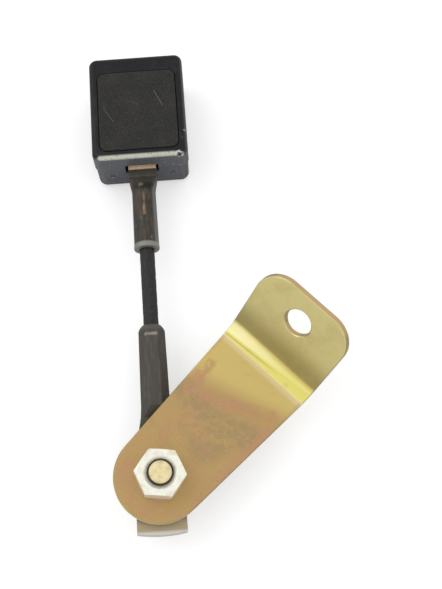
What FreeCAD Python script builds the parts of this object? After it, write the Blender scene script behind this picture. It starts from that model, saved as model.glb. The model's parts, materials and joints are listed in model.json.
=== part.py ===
# Seat belt buckle stalk with its anchor bracket, built piece by piece.
# Lengths are in millimetres. The stalk lies along +Y, the pivot bolt stands along Z, and the
# origin of the whole is the middle of the anchor hole in the bracket's raised tab.
import FreeCAD, Part
import math
import os

import Sketcher

DEG = "1deg"
NEAR = 0.01
WAVE_POINTS = 8
WIRE_SIDES = 4

SIZES = {
    # Bracket plate, measured along its own length from the pivot
    "plate_thick": 3.0,
    "plate_end_radius": 18.0,
    "shank_length": 58.9,
    "shank_half_width": 21.2,
    "tab_half_width": 22.0,
    "bend_radius": 7.2,
    "tab_angle": 58.5,
    "tab_length": 34.2,
    "tab_corner_radius": 11.8,
    "plate_edge_round": 0.5,
    "anchor_hole_from_bend": 21.3,
    "anchor_hole_diameter": 11.5,
    "anchor_hole_rim": 0.4,
    "bracket_heading": 43.0,
    "bracket_lean": 4.7,
    # Pivot bolt, nut and washers
    "thread_diameter": 11.1125,
    "thread_clearance": 0.2,
    "thread_core_diameter": 9.8,
    "nut_bore_diameter": 9.9,
    "nut_across_flats": 17.4625,
    "nut_height": 9.5,
    "nut_countersink_diameter": 12.8,
    "countersink_slope": 35.0,
    "nut_corner_drop": 0.9,
    "nut_turn": -7.4,
    "bolt_proud": 0.8,
    "bolt_end_diameter": 7.6,
    "shoulder_diameter": 12.7,
    "bolt_head_height": 9.4,
    "head_corner_drop": 0.9,
    "wave_washer_height": 0.9,
    "wave_washer_thick": 0.5,
    "wave_count": 3.0,
    "wave_washer_diameter": 18.0,
    "spacer_thick": 1.5,
    "friction_washer_thick": 1.2,
    "washer_diameter": 19.0,
    "washer_clearance": 0.3,
    "face_gap": 0.1,
    # Lower terminal
    "running_clearance": 0.08,
    "eye_thick": 5.4,
    "eye_lift": 0.5,
    "eye_half_width": 9.7,
    "eye_end": 21.6,
    "eye_crown": 0.9,
    "eye_shoulder": 6.0,
    "eye_edge_cut": 1.1,
    "eye_neck_half_width": 6.2,
    "crimp_foot": 24.5,
    "crimp_low": 29.0,
    "crimp_high": 58.3,
    "crimp_width_low": 11.7,
    "crimp_width_high": 10.8,
    "crimp_height_low": 10.5,
    "crimp_height_high": 10.5,
    "crimp_facet_low": 5.2,
    "crimp_facet_high": 4.2,
    "crimp_round": 5.75,
    "crimp_round_low": 6.35,
    "terminal_top": 63.3,
    "terminal_mouth_wall": 0.9,
    "terminal_dome_radius": 6.0,
    "rope_socket": 14.0,
    # Wire rope
    "rope_diameter": 6.3,
    "rope_clearance": 0.1,
    "rope_visible": 34.3,
    # Upper ferrule
    "ferrule_rim_diameter": 10.9,
    "ferrule_rim_length": 2.2,
    "ferrule_bead": 0.55,
    "ferrule_low_diameter": 10.6,
    "ferrule_high_diameter": 10.2,
    "ferrule_round_length": 26.7,
    "ferrule_flat_length": 6.5,
    "ferrule_flat_width": 12.6,
    "ferrule_flat_height": 6.6,
    "ferrule_lip": 1.6,
    "strap_width": 12.0,
    "strap_thick": 2.8,
    "strap_lift": 0.5,
    "strap_length": 11.3,
    "strap_bevel": 2.4,
    # Buckle housing
    "housing_gap": 2.2,
    "housing_width": 40.9,
    "housing_length": 49.6,
    "housing_top": 14.3,
    "housing_depth": 13.8,
    "wall": 2.0,
    "seam_height": 2.4,
    "housing_corner_radius": 3.5,
    "front_edge_radius": 2.2,
    "rear_edge_radius": 3.5,
    "rear_inset": 0.4,
    "strap_slot_width": 14.4,
    "strap_slot_low": 0.9,
    "strap_slot_high": 6.5,
    "tongue_slot_width": 27.0,
    "tongue_slot_height": 4.6,
    "boss_radius": 3.2,
    "snap_width": 7.0,
    "snap_thick": 1.2,
    "snap_reach": 3.4,
    "snap_root": 3.6,
    "snap_from_end": 12.0,
    "pip_radius": 0.9,
    "pip_height": 0.4,
    "pip_spacing": 27.0,
    "pip_drop": 3.2,
    # Release button
    "button_margin_side": 3.3,
    "button_margin_front": 3.4,
    "button_margin_rear": 7.8,
    "button_gap": 0.3,
    "button_proud": 0.5,
    "button_corner_radius": 3.0,
    "button_edge_round": 0.5,
    "button_plate": 2.0,
    "button_skirt": 1.2,
    "button_depth": 5.2,
    "button_lip": 1.2,
    "button_lip_thick": 1.4,
    "button_travel": 2.5,
    "stop_rib_length": 10.0,
    "presser_length": 1.6,
    "presser_width": 8.0,
    # Steel frame inside
    "frame_width": 29.6,
    "frame_thick": 2.0,
    "frame_from_end": 3.0,
    "frame_from_far_end": 4.6,
    "frame_wall_height": 8.3,
    "frame_wall_low": 2.8,
    "frame_slope_start": 6.6,
    "frame_slope_end": 13.2,
    "strap_rivet_diameter": 5.0,
    "strap_rivet_head": 7.6,
    "strap_rivet_crown": 1.0,
    "strap_rivet_from_end": 7.0,
    # Latch and its pin
    "latch_pin_from_end": 23.5,
    "latch_pin_height": 5.6,
    "latch_pin_diameter": 4.0,
    "latch_pin_head": 5.6,
    "latch_pin_head_thick": 0.8,
    "latch_half_width": 5.2,
    "latch_thick": 2.0,
    "latch_hub_radius": 2.9,
    "latch_rear_arm": 11.3,
    "latch_press_arm": 9.9,
    "latch_front_arm": 10.0,
    "latch_hook": 2.2,
    "latch_hook_drop": 4.6,
    "latch_hook_tip": 0.9,
    "latch_hook_bevel": 1.2,
    # Ejector below the frame floor
    "ejector_from_far_end": 15.0,
    "ejector_length": 8.0,
    "ejector_half_width": 9.0,
    "ejector_height": 3.8,
    "ejector_notch_half_width": 4.5,
    "ejector_notch_depth": 4.0,
    "ejector_finger_width": 1.8,
    "ejector_finger_from_middle": 7.1,
    "ejector_finger_length": 2.0,
    "ejector_finger_rise": 1.7,
    "ejector_finger_root": 1.9,
    "ejector_travel": 8.0,
    "guide_clearance": 0.25,
    "spring_seat_from_end": 12.6,
    "spring_seat_thick": 1.6,
    "spring_seat_half_width": 4.5,
    "rail_from_middle": 5.4,
    "rail_thick": 2.0,
    # Springs
    "button_spring_radius": 1.6,
    "button_spring_wire": 0.6,
    "button_spring_turns": 3.5,
    "button_spring_from_wall": 2.3,
    "button_spring_from_end": 28.5,
    "ejector_spring_radius": 1.5,
    "ejector_spring_wire": 0.5,
    "ejector_spring_turns": 4.5,
    "latch_spring_radius": 1.3,
    "latch_spring_wire": 0.5,
    "latch_spring_turns": 2.5,
    "latch_spring_arm": 6.6,
    "spring_gap": 0.1,
    # Frame screws from below
    "screw_from_middle": 10.6,
    "screw_from_frame_end": 3.8,
    "screw_diameter": 3.0,
    "screw_head_diameter": 5.0,
    "screw_head_thick": 1.6,
    "screw_hole_clearance": 0.2,
    "screw_recess": 4.2,
    # How far a cut runs past what it cuts
    "overcut": 1.0,
}

document = FreeCAD.newDocument("seat_belt_anchor")
sheet = document.addObject("Spreadsheet::Sheet", "Sizes")
for row, (alias, size) in enumerate(SIZES.items(), start=1):
    sheet.set(f"A{row}", alias)
    sheet.set(f"B{row}", repr(size))
    sheet.setAlias(f"B{row}", alias)
document.recompute()


def named(text):
    """Turn the plain size names of a formula into cells of the sheet."""
    words = []
    word = ""
    for letter in text + " ":
        if letter.isalnum() or letter in "_.":
            word += letter
            continue
        words.append(f"Sizes.{word}" if word in SIZES else word)
        words.append(letter)
        word = ""
    return "".join(words).strip()


def value(text):
    """Work a formula out from the sheet, as a plain number."""
    answer = sheet.evalExpression(named(text))
    return float(getattr(answer, "Value", answer))


# Heights and lengths that several pieces share, as formulas of the driving sizes

WAVE_TOP = "(-plate_thick - face_gap)"
SPACER_TOP = f"({WAVE_TOP} - wave_washer_height - face_gap)"
EYE_TOP = f"({SPACER_TOP} - spacer_thick - face_gap)"
STALK_AXIS = f"({EYE_TOP} - eye_thick / 2 - eye_lift)"
FRICTION_TOP = f"({EYE_TOP} - eye_thick - face_gap)"
HEAD_TOP = f"({FRICTION_TOP} - friction_washer_thick - face_gap)"
HEAD_UNDER = f"({HEAD_TOP} - bolt_head_height)"

ROPE_END = "(terminal_top + rope_visible)"
FERRULE_FLAT = f"({ROPE_END} + ferrule_round_length)"
FERRULE_END = f"({FERRULE_FLAT} + ferrule_flat_length + ferrule_lip)"
HOUSING_END = f"({FERRULE_END} + housing_gap)"

# Heights inside the buckle are measured from the stalk's axis
STRAP_TOP = "(strap_lift + strap_thick)"
FRAME_FLOOR = "strap_lift"
FRAME_UNDER = "(strap_lift - frame_thick)"
WALL_TOP = "(strap_lift + frame_wall_height)"
HOUSING_FLOOR = "(-housing_depth)"
FRAME_LENGTH = "(housing_length - frame_from_end - frame_from_far_end)"
EJECTOR_FRONT = f"({HOUSING_END} + housing_length - ejector_from_far_end)"
BUTTON_SPRING_ACROSS = "(frame_width / 2 - frame_thick - button_spring_from_wall)"
BUTTON_TOP = "(housing_top + button_proud)"
BUTTON_UNDER = f"({BUTTON_TOP} - button_plate)"
BUTTON_FOOT = f"({BUTTON_TOP} - button_depth)"
BUTTON_END = f"({HOUSING_END} + housing_length - button_margin_rear - button_gap)"
COVER_UNDER = "(housing_top - wall)"

TAB_RUN = f"(bend_radius * sin(tab_angle * {DEG}))"
TAB_RISE = f"(bend_radius * (1 - cos(tab_angle * {DEG})))"
HOLE_RUN = f"(shank_length + {TAB_RUN} + anchor_hole_from_bend * cos(tab_angle * {DEG}))"
HOLE_RISE = f"({TAB_RISE} + anchor_hole_from_bend * sin(tab_angle * {DEG}))"
HOLE_MID_RUN = f"({HOLE_RUN} + plate_thick / 2 * sin(tab_angle * {DEG}))"
HOLE_MID_RISE = f"({HOLE_RISE} - plate_thick / 2 * cos(tab_angle * {DEG}))"

# The pieces on the pivot lean together about the stalk's axis, so the hole's middle leans too
LEAN = f"(bracket_lean * {DEG})"
HOLE_X = f"({HOLE_MID_RUN} * cos(bracket_heading * {DEG}))"
HOLE_Z = f"({HOLE_MID_RISE} - {STALK_AXIS})"
ORIGIN_X = f"({HOLE_X} * cos({LEAN}) + {HOLE_Z} * sin({LEAN}))"
ORIGIN_Y = f"({HOLE_MID_RUN} * sin(bracket_heading * {DEG}))"
ORIGIN_Z = f"({STALK_AXIS} + {HOLE_Z} * cos({LEAN}) - {HOLE_X} * sin({LEAN}))"

UPRIGHT = FreeCAD.Vector(0, 0, 1)
parts = []


def place(item, across="0", along="0", up="0", turn="0", lean="0", tip="0"):
    """Set an object down in the row frame, from a place measured from the pivot.

    It is tipped over along the stalk, turned about the upright and leant about the stalk.
    """
    axis = f"vector(-{ORIGIN_X}; -{ORIGIN_Y}; {STALK_AXIS} - {ORIGIN_Z})"
    own = f"vector({across}; {along}; {up} - {STALK_AXIS})"
    item.setExpression("Placement", named(
        f"placement({axis}; rotationy({lean}))"
        f" * placement({own}; rotationz({turn}) * rotationx({tip}))"))


def new_body(label):
    """Start a body whose label is the name of its node."""
    body = document.addObject("PartDesign::Body", label)
    body.Label = label
    parts.append(body)
    return body


def sketch_on(body, role, name, offset=None):
    """Add a sketch on one of the body's own planes, moved along that plane's normal."""
    sketch = body.newObject("Sketcher::SketchObject", name)
    plane = [item for item in body.Origin.OriginFeatures if item.Role == role][0]
    sketch.AttachmentSupport = [(plane, "")]
    sketch.MapMode = "FlatFace"
    if offset is not None:
        sketch.setExpression("AttachmentOffset.Base.z", named(offset))
    return sketch


def hold(sketch, kind, *arguments, formula):
    """Add a dimension to a sketch and bind it to a formula of the sheet."""
    index = sketch.addConstraint(Sketcher.Constraint(kind, *arguments, value(formula)))
    sketch.setExpression(f"Constraints[{index}]", named(formula))


def outline(sketch, corners, arcs=None):
    """Draw a closed outline through corners given as pairs of formulas.

    An entry of arcs turns the edge that starts at that corner into an arc:
    its radius as a formula, and +1 for an arc that turns left or -1 for right.
    """
    arcs = arcs or {}
    points = [FreeCAD.Vector(value(x), value(y), 0) for x, y in corners]
    total = len(points)
    first = sketch.GeometryCount
    ends = []
    for index, start in enumerate(points):
        stop = points[(index + 1) % total]
        if index not in arcs:
            sketch.addGeometry(Part.LineSegment(start, stop))
            ends.append((1, 2))
            continue
        radius = value(arcs[index][0])
        side = arcs[index][1]
        chord = stop - start
        half = chord.Length / 2
        inward = FreeCAD.Vector(-chord.y, chord.x, 0).normalize() * side
        depth = math.sqrt(max(radius * radius - half * half, 0.0))
        centre = (start + stop) * 0.5 + inward * depth
        low, high = (start, stop) if side > 0 else (stop, start)
        begin = math.atan2(low.y - centre.y, low.x - centre.x)
        finish = math.atan2(high.y - centre.y, high.x - centre.x)
        circle = Part.Circle(centre, UPRIGHT, radius)
        sketch.addGeometry(Part.ArcOfCircle(circle, begin, finish))
        ends.append((1, 2) if side > 0 else (2, 1))
    for index in range(total):
        after = (index + 1) % total
        sketch.addConstraint(Sketcher.Constraint(
            "Coincident", first + index, ends[index][1], first + after, ends[after][0]))
    for index, (x, y) in enumerate(corners):
        hold(sketch, "DistanceX", -1, 1, first + index, ends[index][0], formula=x)
        hold(sketch, "DistanceY", -1, 1, first + index, ends[index][0], formula=y)
    for index, (radius, _) in arcs.items():
        hold(sketch, "Radius", first + index, formula=radius)


def box_outline(sketch, left, right, low, high):
    """Draw a rectangle between four formulas."""
    outline(sketch, [(left, low), (right, low), (right, high), (left, high)])


def rounded_outline(sketch, left, right, low, high, radius):
    """Draw a rectangle with rounded corners between four formulas."""
    corners = [
        (f"{left} + {radius}", low), (f"{right} - {radius}", low),
        (right, f"{low} + {radius}"), (right, f"{high} - {radius}"),
        (f"{right} - {radius}", high), (f"{left} + {radius}", high),
        (left, f"{high} - {radius}"), (left, f"{low} + {radius}"),
    ]
    outline(sketch, corners, {edge: (radius, 1) for edge in (1, 3, 5, 7)})


def circle(sketch, x, y, radius):
    """Draw a circle whose centre and radius are formulas."""
    centre = FreeCAD.Vector(value(x), value(y), 0)
    index = sketch.addGeometry(Part.Circle(centre, UPRIGHT, value(radius)))
    hold(sketch, "DistanceX", -1, 1, index, 3, formula=x)
    hold(sketch, "DistanceY", -1, 1, index, 3, formula=y)
    hold(sketch, "Radius", index, formula=radius)


def hexagon(sketch, across_flats, turn="0"):
    """Draw a regular hexagon about the origin, its first corner at the given turn."""
    corners = []
    for step in range(6):
        angle = f"(({turn} + {60 * step}) * {DEG})"
        reach = f"({across_flats} / sqrt(3))"
        corners.append((f"{reach} * cos({angle})", f"{reach} * sin({angle})"))
    outline(sketch, corners)


def pad(body, sketch, length, reverse=False, middle=False):
    """Raise a sketch into a solid, and check that it added material."""
    feature = body.newObject("PartDesign::Pad", f"{sketch.Name}_pad")
    feature.Profile = sketch
    feature.setExpression("Length", named(length))
    feature.Reversed = reverse
    if middle:
        feature.Midplane = True
    sketch.Visibility = False
    return settle(body, feature, +1)


def pocket(body, sketch, length, reverse=False, middle=False):
    """Cut a sketch into the solid, and check that it took material away."""
    feature = body.newObject("PartDesign::Pocket", f"{sketch.Name}_cut")
    feature.Profile = sketch
    feature.setExpression("Length", named(length))
    feature.Reversed = reverse
    if middle:
        feature.Midplane = True
    sketch.Visibility = False
    return settle(body, feature, -1)


def turned(body, kind, sketch, axis="V_Axis"):
    """Turn a sketch about one of its own axes, as a solid or as a groove."""
    feature = body.newObject(f"PartDesign::{kind}", f"{sketch.Name}_turned")
    feature.Profile = sketch
    feature.ReferenceAxis = (sketch, [axis])
    feature.Angle = 360.0
    sketch.Visibility = False
    return settle(body, feature, +1 if kind == "Revolution" else -1)


def loft(body, sketches, ruled=True):
    """Join sections into one solid."""
    feature = body.newObject("PartDesign::AdditiveLoft", f"{sketches[0].Name}_loft")
    feature.Profile = sketches[0]
    feature.Sections = sketches[1:]
    feature.Ruled = ruled
    return settle(body, feature, +1)


def settle(body, feature, sign):
    """Recompute after a feature, and see that the volume changed the right way."""
    before = getattr(body, "last_volume", None)
    if before is None:
        body.addProperty("App::PropertyFloat", "last_volume")
        before = 0.0
    body.Tip = feature
    document.recompute()
    volume = feature.Shape.Volume
    if "Invalid" in feature.State or (volume - before) * sign <= 0:
        raise RuntimeError(f"{body.Label}: {feature.Name} did not do its work")
    body.last_volume = volume
    return feature


def edges_where(feature, test):
    """Name the edges of a feature whose middle point and direction pass a test."""
    names = []
    for number, edge in enumerate(feature.Shape.Edges, start=1):
        middle = edge.valueAt((edge.FirstParameter + edge.LastParameter) / 2)
        if test(edge, middle):
            names.append(f"Edge{number}")
    return names


def fillet(body, feature, test, radius):
    """Round the edges of the body that pass a test."""
    names = edges_where(feature, test)
    if not names:
        raise RuntimeError(f"{body.Label}: no edge to round")
    rounded = body.newObject("PartDesign::Fillet", f"{feature.Name}_round")
    rounded.Base = (feature, names)
    rounded.setExpression("Radius", named(radius))
    body.Tip = rounded
    document.recompute()
    if "Invalid" in rounded.State or not rounded.Shape.isValid():
        raise RuntimeError(f"{body.Label}: {rounded.Name} failed")
    body.last_volume = rounded.Shape.Volume
    return rounded


def make_bracket_plate():
    """Bent anchor plate: round end about the pivot, widening shank and raised tab."""
    body = new_body("bracket_plate")
    angle = f"tab_angle * {DEG}"
    bend_x = f"shank_length + bend_radius * sin({angle})"
    bend_z = f"bend_radius * (1 - cos({angle}))"
    outer = "(bend_radius + plate_thick)"
    end_x = f"{bend_x} + tab_length * cos({angle})"
    end_z = f"{bend_z} + tab_length * sin({angle})"
    side = sketch_on(body, "XZ_Plane", "bracket_side")
    outline(side, [
        ("-plate_end_radius - plate_thick", "-plate_thick"),
        ("shank_length", "-plate_thick"),
        (f"{bend_x} + plate_thick * sin({angle})", f"{bend_z} - plate_thick * cos({angle})"),
        (f"{end_x} + plate_thick * sin({angle})", f"{end_z} - plate_thick * cos({angle})"),
        (end_x, end_z),
        (bend_x, bend_z),
        ("shank_length", "0"),
        ("-plate_end_radius - plate_thick", "0"),
    ], {1: (outer, 1), 5: ("bend_radius", -1)})
    pad(body, side, "4 * tab_half_width", middle=True)

    edge = sketch_on(body, "XY_Plane", "bracket_plan", "-2 * plate_thick")
    reach = f"({end_x} + 2 * plate_thick)"
    wide = "(2 * tab_half_width + plate_thick)"
    slope = f"(tab_half_width - shank_half_width) / ({end_x} - shank_length)"
    far_half = f"(shank_half_width + ({reach} - shank_length) * {slope})"
    ratio = "(shank_half_width - plate_end_radius) / shank_length"
    touch_x = f"(-plate_end_radius * {ratio})"
    touch_y = f"(plate_end_radius * sqrt(1 - ({ratio}) * ({ratio})))"
    outline(edge, [
        (reach, f"-{far_half}"),
        (reach, f"-{wide}"),
        (f"-{wide}", f"-{wide}"),
        (f"-{wide}", wide),
        (reach, wide),
        (reach, far_half),
        ("shank_length", "shank_half_width"),
        (touch_x, touch_y),
        (touch_x, f"-{touch_y}"),
        ("shank_length", "-shank_half_width"),
    ], {7: ("plate_end_radius", 1)})
    cut = pocket(body, edge, "4 * tab_length", reverse=True)

    tip_x = value(end_x)
    short = value("plate_thick + plate_edge_round")
    half_shank = value("shank_half_width")

    def tab_corner(item, middle):
        """Pick the two edges through the thickness at the tab's corners."""
        return middle.x > tip_x and item.Length < short and abs(middle.y) > half_shank

    fillet(body, cut, tab_corner, "tab_corner_radius")

    bore = sketch_on(body, "XY_Plane", "pivot_hole", "-2 * plate_thick")
    circle(bore, "0", "0", "(thread_diameter + thread_clearance) / 2")
    pocket(body, bore, "3 * plate_thick", reverse=True)

    hole = sketch_on(body, "XZ_Plane", "anchor_hole")
    run = [f"cos({angle})", f"sin({angle})"]
    radius = "anchor_hole_diameter / 2"

    def spot(out, down):
        """Give a point of the hole's section: out along the tab, down through it."""
        return (f"{HOLE_RUN} + ({out}) * {run[0]} + ({down}) * {run[1]}",
                f"{HOLE_RISE} + ({out}) * {run[1]} - ({down}) * {run[0]}")

    outline(hole, [
        spot("0", "-anchor_hole_rim"),
        spot(f"{radius} + 2 * anchor_hole_rim", "-anchor_hole_rim"),
        spot(radius, "anchor_hole_rim"),
        spot(radius, "plate_thick - anchor_hole_rim"),
        spot(f"{radius} + 2 * anchor_hole_rim", "plate_thick + anchor_hole_rim"),
        spot("0", "plate_thick + anchor_hole_rim"),
    ])
    groove = body.newObject("PartDesign::Groove", "anchor_hole_turned")
    groove.Profile = hole
    groove.ReferenceAxis = (hole, ["Edge6"])
    groove.Angle = 360.0
    settle(body, groove, -1)

    hole_middle = FreeCAD.Vector(value(HOLE_RUN), 0, value(HOLE_RISE))
    hole_reach = value("anchor_hole_diameter / 2 + plate_thick")
    pivot_reach = value("thread_diameter")

    def outer_rim(item, middle):
        """Pick the long edges all round the plate, away from the two holes and the bend."""
        if math.hypot(middle.x, middle.y) < pivot_reach:
            return False
        if (middle - hole_middle).Length < hole_reach or item.Length < short:
            return False
        spread = abs(item.Vertexes[0].Point.y - item.Vertexes[-1].Point.y)
        return spread < half_shank or middle.x > tip_x - short

    fillet(body, groove, outer_rim, "plate_edge_round")
    place(body, turn="bracket_heading", lean="bracket_lean")


def hex_trim(body, name, height, drop, across_flats, way):
    """Cut a hexagon's corners back to a cone at its top face (way 1) or low face (way -1)."""
    sketch = sketch_on(body, "XZ_Plane", name)
    inner = f"({across_flats} / 2)"
    outer = f"(2 * {across_flats} / sqrt(3) - {inner})"
    low = f"{height} - {2 * way} * {drop}"
    over = f"{height} + {way} * {drop}"
    outline(sketch, [(inner, height), (outer, low), (outer, over), (inner, over)])
    turned(body, "Groove", sketch)


def make_pivot_bolt():
    """Shoulder bolt: hex head below, plain shoulder for the eye, threaded end with a chamfer."""
    body = new_body("pivot_bolt")
    head = sketch_on(body, "XY_Plane", "bolt_head", HEAD_UNDER)
    hexagon(head, "nut_across_flats", "nut_turn")
    pad(body, head, "bolt_head_height")
    hex_trim(body, "bolt_head_trim", HEAD_UNDER, "head_corner_drop", "nut_across_flats", -1)
    shank = sketch_on(body, "XZ_Plane", "bolt_shank")
    end = "(nut_height + bolt_proud)"
    slant = "(thread_core_diameter / 2 - bolt_end_diameter / 2)"
    outline(shank, [
        ("0", f"{HEAD_TOP} - bolt_head_height / 2"),
        ("shoulder_diameter / 2", f"{HEAD_TOP} - bolt_head_height / 2"),
        ("shoulder_diameter / 2", "-plate_thick"),
        ("thread_diameter / 2", "-plate_thick"),
        ("thread_diameter / 2", "0"),
        ("thread_core_diameter / 2", "0"),
        ("thread_core_diameter / 2", f"{end} - {slant}"),
        ("bolt_end_diameter / 2", end),
        ("0", end),
    ])
    turned(body, "Revolution", shank)
    place(body, lean="bracket_lean")


def make_pivot_nut():
    """Hex nut with cut corners and a countersunk bore at both faces."""
    body = new_body("pivot_nut")
    blank = sketch_on(body, "XY_Plane", "nut_blank")
    hexagon(blank, "nut_across_flats", "nut_turn")
    pad(body, blank, "nut_height")
    hex_trim(body, "nut_trim_top", "nut_height", "nut_corner_drop", "nut_across_flats", 1)
    hex_trim(body, "nut_trim_low", "0", "nut_corner_drop", "nut_across_flats", -1)
    bore = sketch_on(body, "XZ_Plane", "nut_bore")
    narrowing = "((nut_countersink_diameter - nut_bore_diameter) / 2)"
    sink = f"({narrowing} * tan(countersink_slope * {DEG}))"
    outline(bore, [
        ("0", "-nut_corner_drop"),
        ("nut_countersink_diameter / 2", "-nut_corner_drop"),
        ("nut_countersink_diameter / 2", "0"),
        ("nut_bore_diameter / 2", sink),
        ("nut_bore_diameter / 2", f"nut_height - {sink}"),
        ("nut_countersink_diameter / 2", "nut_height"),
        ("nut_countersink_diameter / 2", "nut_height + nut_corner_drop"),
        ("0", "nut_height + nut_corner_drop"),
    ])
    turned(body, "Groove", bore)
    place(body, lean="bracket_lean")


def make_ring(label, top, thick, outer):
    """Plain washer round the bolt's shoulder."""
    body = new_body(label)
    ring = sketch_on(body, "XY_Plane", f"{label}_ring")
    circle(ring, "0", "0", f"{outer} / 2")
    circle(ring, "0", "0", "shoulder_diameter / 2 + washer_clearance")
    pad(body, ring, thick, reverse=True)
    place(body, up=top, lean="bracket_lean")


def make_wave_washer():
    """Three-wave spring washer: a thin ring that rises and falls round its rim."""
    item = document.addObject("Part::Feature", "wave_washer")
    item.Label = "wave_washer"
    parts.append(item)
    inner = value("shoulder_diameter / 2 + washer_clearance")
    outer = value("wave_washer_diameter / 2")
    thick = value("wave_washer_thick")
    swing = (value("wave_washer_height") - thick) / 2
    count = int(round(value("wave_count")))
    steps = WAVE_POINTS * count

    def rim(radius, lift):
        """Close a smooth curve round the washer at one radius."""
        points = []
        for step in range(steps):
            turn = 2 * math.pi * step / steps
            height = swing * math.cos(count * turn) + lift
            points.append(FreeCAD.Vector(radius * math.cos(turn), radius * math.sin(turn), height))
        curve = Part.BSplineCurve()
        curve.interpolate(points, PeriodicFlag=True)
        return curve.toShape()

    low_in, low_out = rim(inner, -thick / 2), rim(outer, -thick / 2)
    high_in, high_out = rim(inner, thick / 2), rim(outer, thick / 2)
    faces = [
        Part.makeRuledSurface(low_in, low_out),
        Part.makeRuledSurface(high_in, high_out),
        Part.makeRuledSurface(low_in, high_in),
        Part.makeRuledSurface(low_out, high_out),
    ]
    solid = Part.Solid(Part.Shell(Part.makeShell(faces).Faces))
    if solid.Volume < 0:
        solid.reverse()
    item.Shape = solid
    place(item, up=f"{WAVE_TOP} - wave_washer_height / 2", lean="bracket_lean")


def crimp_section(body, name, along, width, height, facet):
    """Draw the eight-sided section of the crimped tube across the stalk."""
    sketch = sketch_on(body, "XZ_Plane", name, f"-({along})")
    wide = f"({width} / 2)"
    tall = f"({height} / 2)"
    flat = f"({facet} / 2)"
    shoulder = f"({tall} - ({wide} - {flat}))"
    corners = [
        (flat, f"-{tall}"), (wide, f"-{shoulder}"), (wide, shoulder), (flat, tall),
        (f"-{flat}", tall), (f"-{wide}", shoulder), (f"-{wide}", f"-{shoulder}"),
        (f"-{flat}", f"-{tall}"),
    ]
    outline(sketch, corners)
    return sketch


def eye_section(body, name, along, half_width):
    """Draw the flattened section where the tube has become the eye."""
    sketch = sketch_on(body, "XZ_Plane", name, f"-({along})")
    low = "(eye_lift - eye_thick / 2)"
    high = "(eye_lift + eye_thick / 2)"
    cut = "eye_edge_cut"
    inner = f"({half_width} - {cut})"
    outline(sketch, [
        (inner, low), (half_width, f"{low} + {cut}"), (half_width, f"{high} - {cut}"),
        (inner, high), (f"-{inner}", high), (f"-{half_width}", f"{high} - {cut}"),
        (f"-{half_width}", f"{low} + {cut}"), (f"-{inner}", low),
    ])
    return sketch


def make_lower_terminal():
    """Swaged terminal: eight-sided crimped tube with a domed mouth, flattened into an eye."""
    body = new_body("lower_terminal")
    low = crimp_section(body, "crimp_low_section", "crimp_low",
                        "crimp_width_low", "crimp_height_low", "crimp_facet_low")
    high = crimp_section(body, "crimp_high_section", "terminal_top",
                         "crimp_width_high", "crimp_height_high", "crimp_facet_high")
    loft(body, [low, high])
    mouth = "(rope_diameter / 2 + terminal_mouth_wall)"
    dome = sketch_on(body, "XY_Plane", "terminal_dome")
    outline(dome, [
        ("crimp_round_low", "crimp_low - overcut"),
        ("crimp_width_low", "crimp_low - overcut"),
        ("crimp_width_low", "terminal_top + overcut"),
        (mouth, "terminal_top + overcut"),
        (mouth, "terminal_top"),
        ("crimp_round", "crimp_high"),
    ], {4: ("terminal_dome_radius", -1)})
    turned(body, "Groove", dome)
    foot = eye_section(body, "crimp_foot_section", "crimp_foot", "eye_neck_half_width")
    start = crimp_section(body, "crimp_step_section", "crimp_low",
                          "crimp_width_low", "crimp_height_low", "crimp_facet_low")
    loft(body, [start, foot])
    plan = sketch_on(body, "XY_Plane", "eye_plan", "eye_lift")
    crown_rise = "(eye_end - eye_crown)"
    crown = "((eye_half_width * eye_half_width + eye_crown * eye_crown) / (2 * eye_crown))"
    outline(plan, [
        ("-eye_half_width", f"-{crown_rise}"),
        ("eye_half_width", f"-{crown_rise}"),
        ("eye_half_width", "eye_shoulder"),
        ("eye_neck_half_width", "crimp_foot"),
        ("-eye_neck_half_width", "crimp_foot"),
        ("-eye_half_width", "eye_shoulder"),
    ], {0: (crown, 1)})
    pad(body, plan, "eye_thick", middle=True)
    bore = sketch_on(body, "XY_Plane", "eye_bore", "eye_lift")
    circle(bore, "0", "0", "shoulder_diameter / 2 + running_clearance")
    pocket(body, bore, "2 * eye_thick", middle=True)
    socket = sketch_on(body, "XZ_Plane", "rope_socket_section", "-(terminal_top - rope_socket)")
    circle(socket, "0", "0", "rope_diameter / 2")
    pocket(body, socket, "rope_socket + overcut")
    place(body, up=STALK_AXIS, lean="bracket_lean")


def make_wire_rope():
    """Coated wire rope, a plain round core between the two crimped sockets."""
    rope = document.addObject("Part::Cylinder", "wire_rope")
    rope.Label = "wire_rope"
    parts.append(rope)
    rope.setExpression("Radius", named("rope_diameter / 2"))
    rope.setExpression("Height", named("rope_visible + 2 * rope_socket"))
    place(rope, along="(terminal_top - rope_socket)", up=STALK_AXIS, tip="-90")


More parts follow.
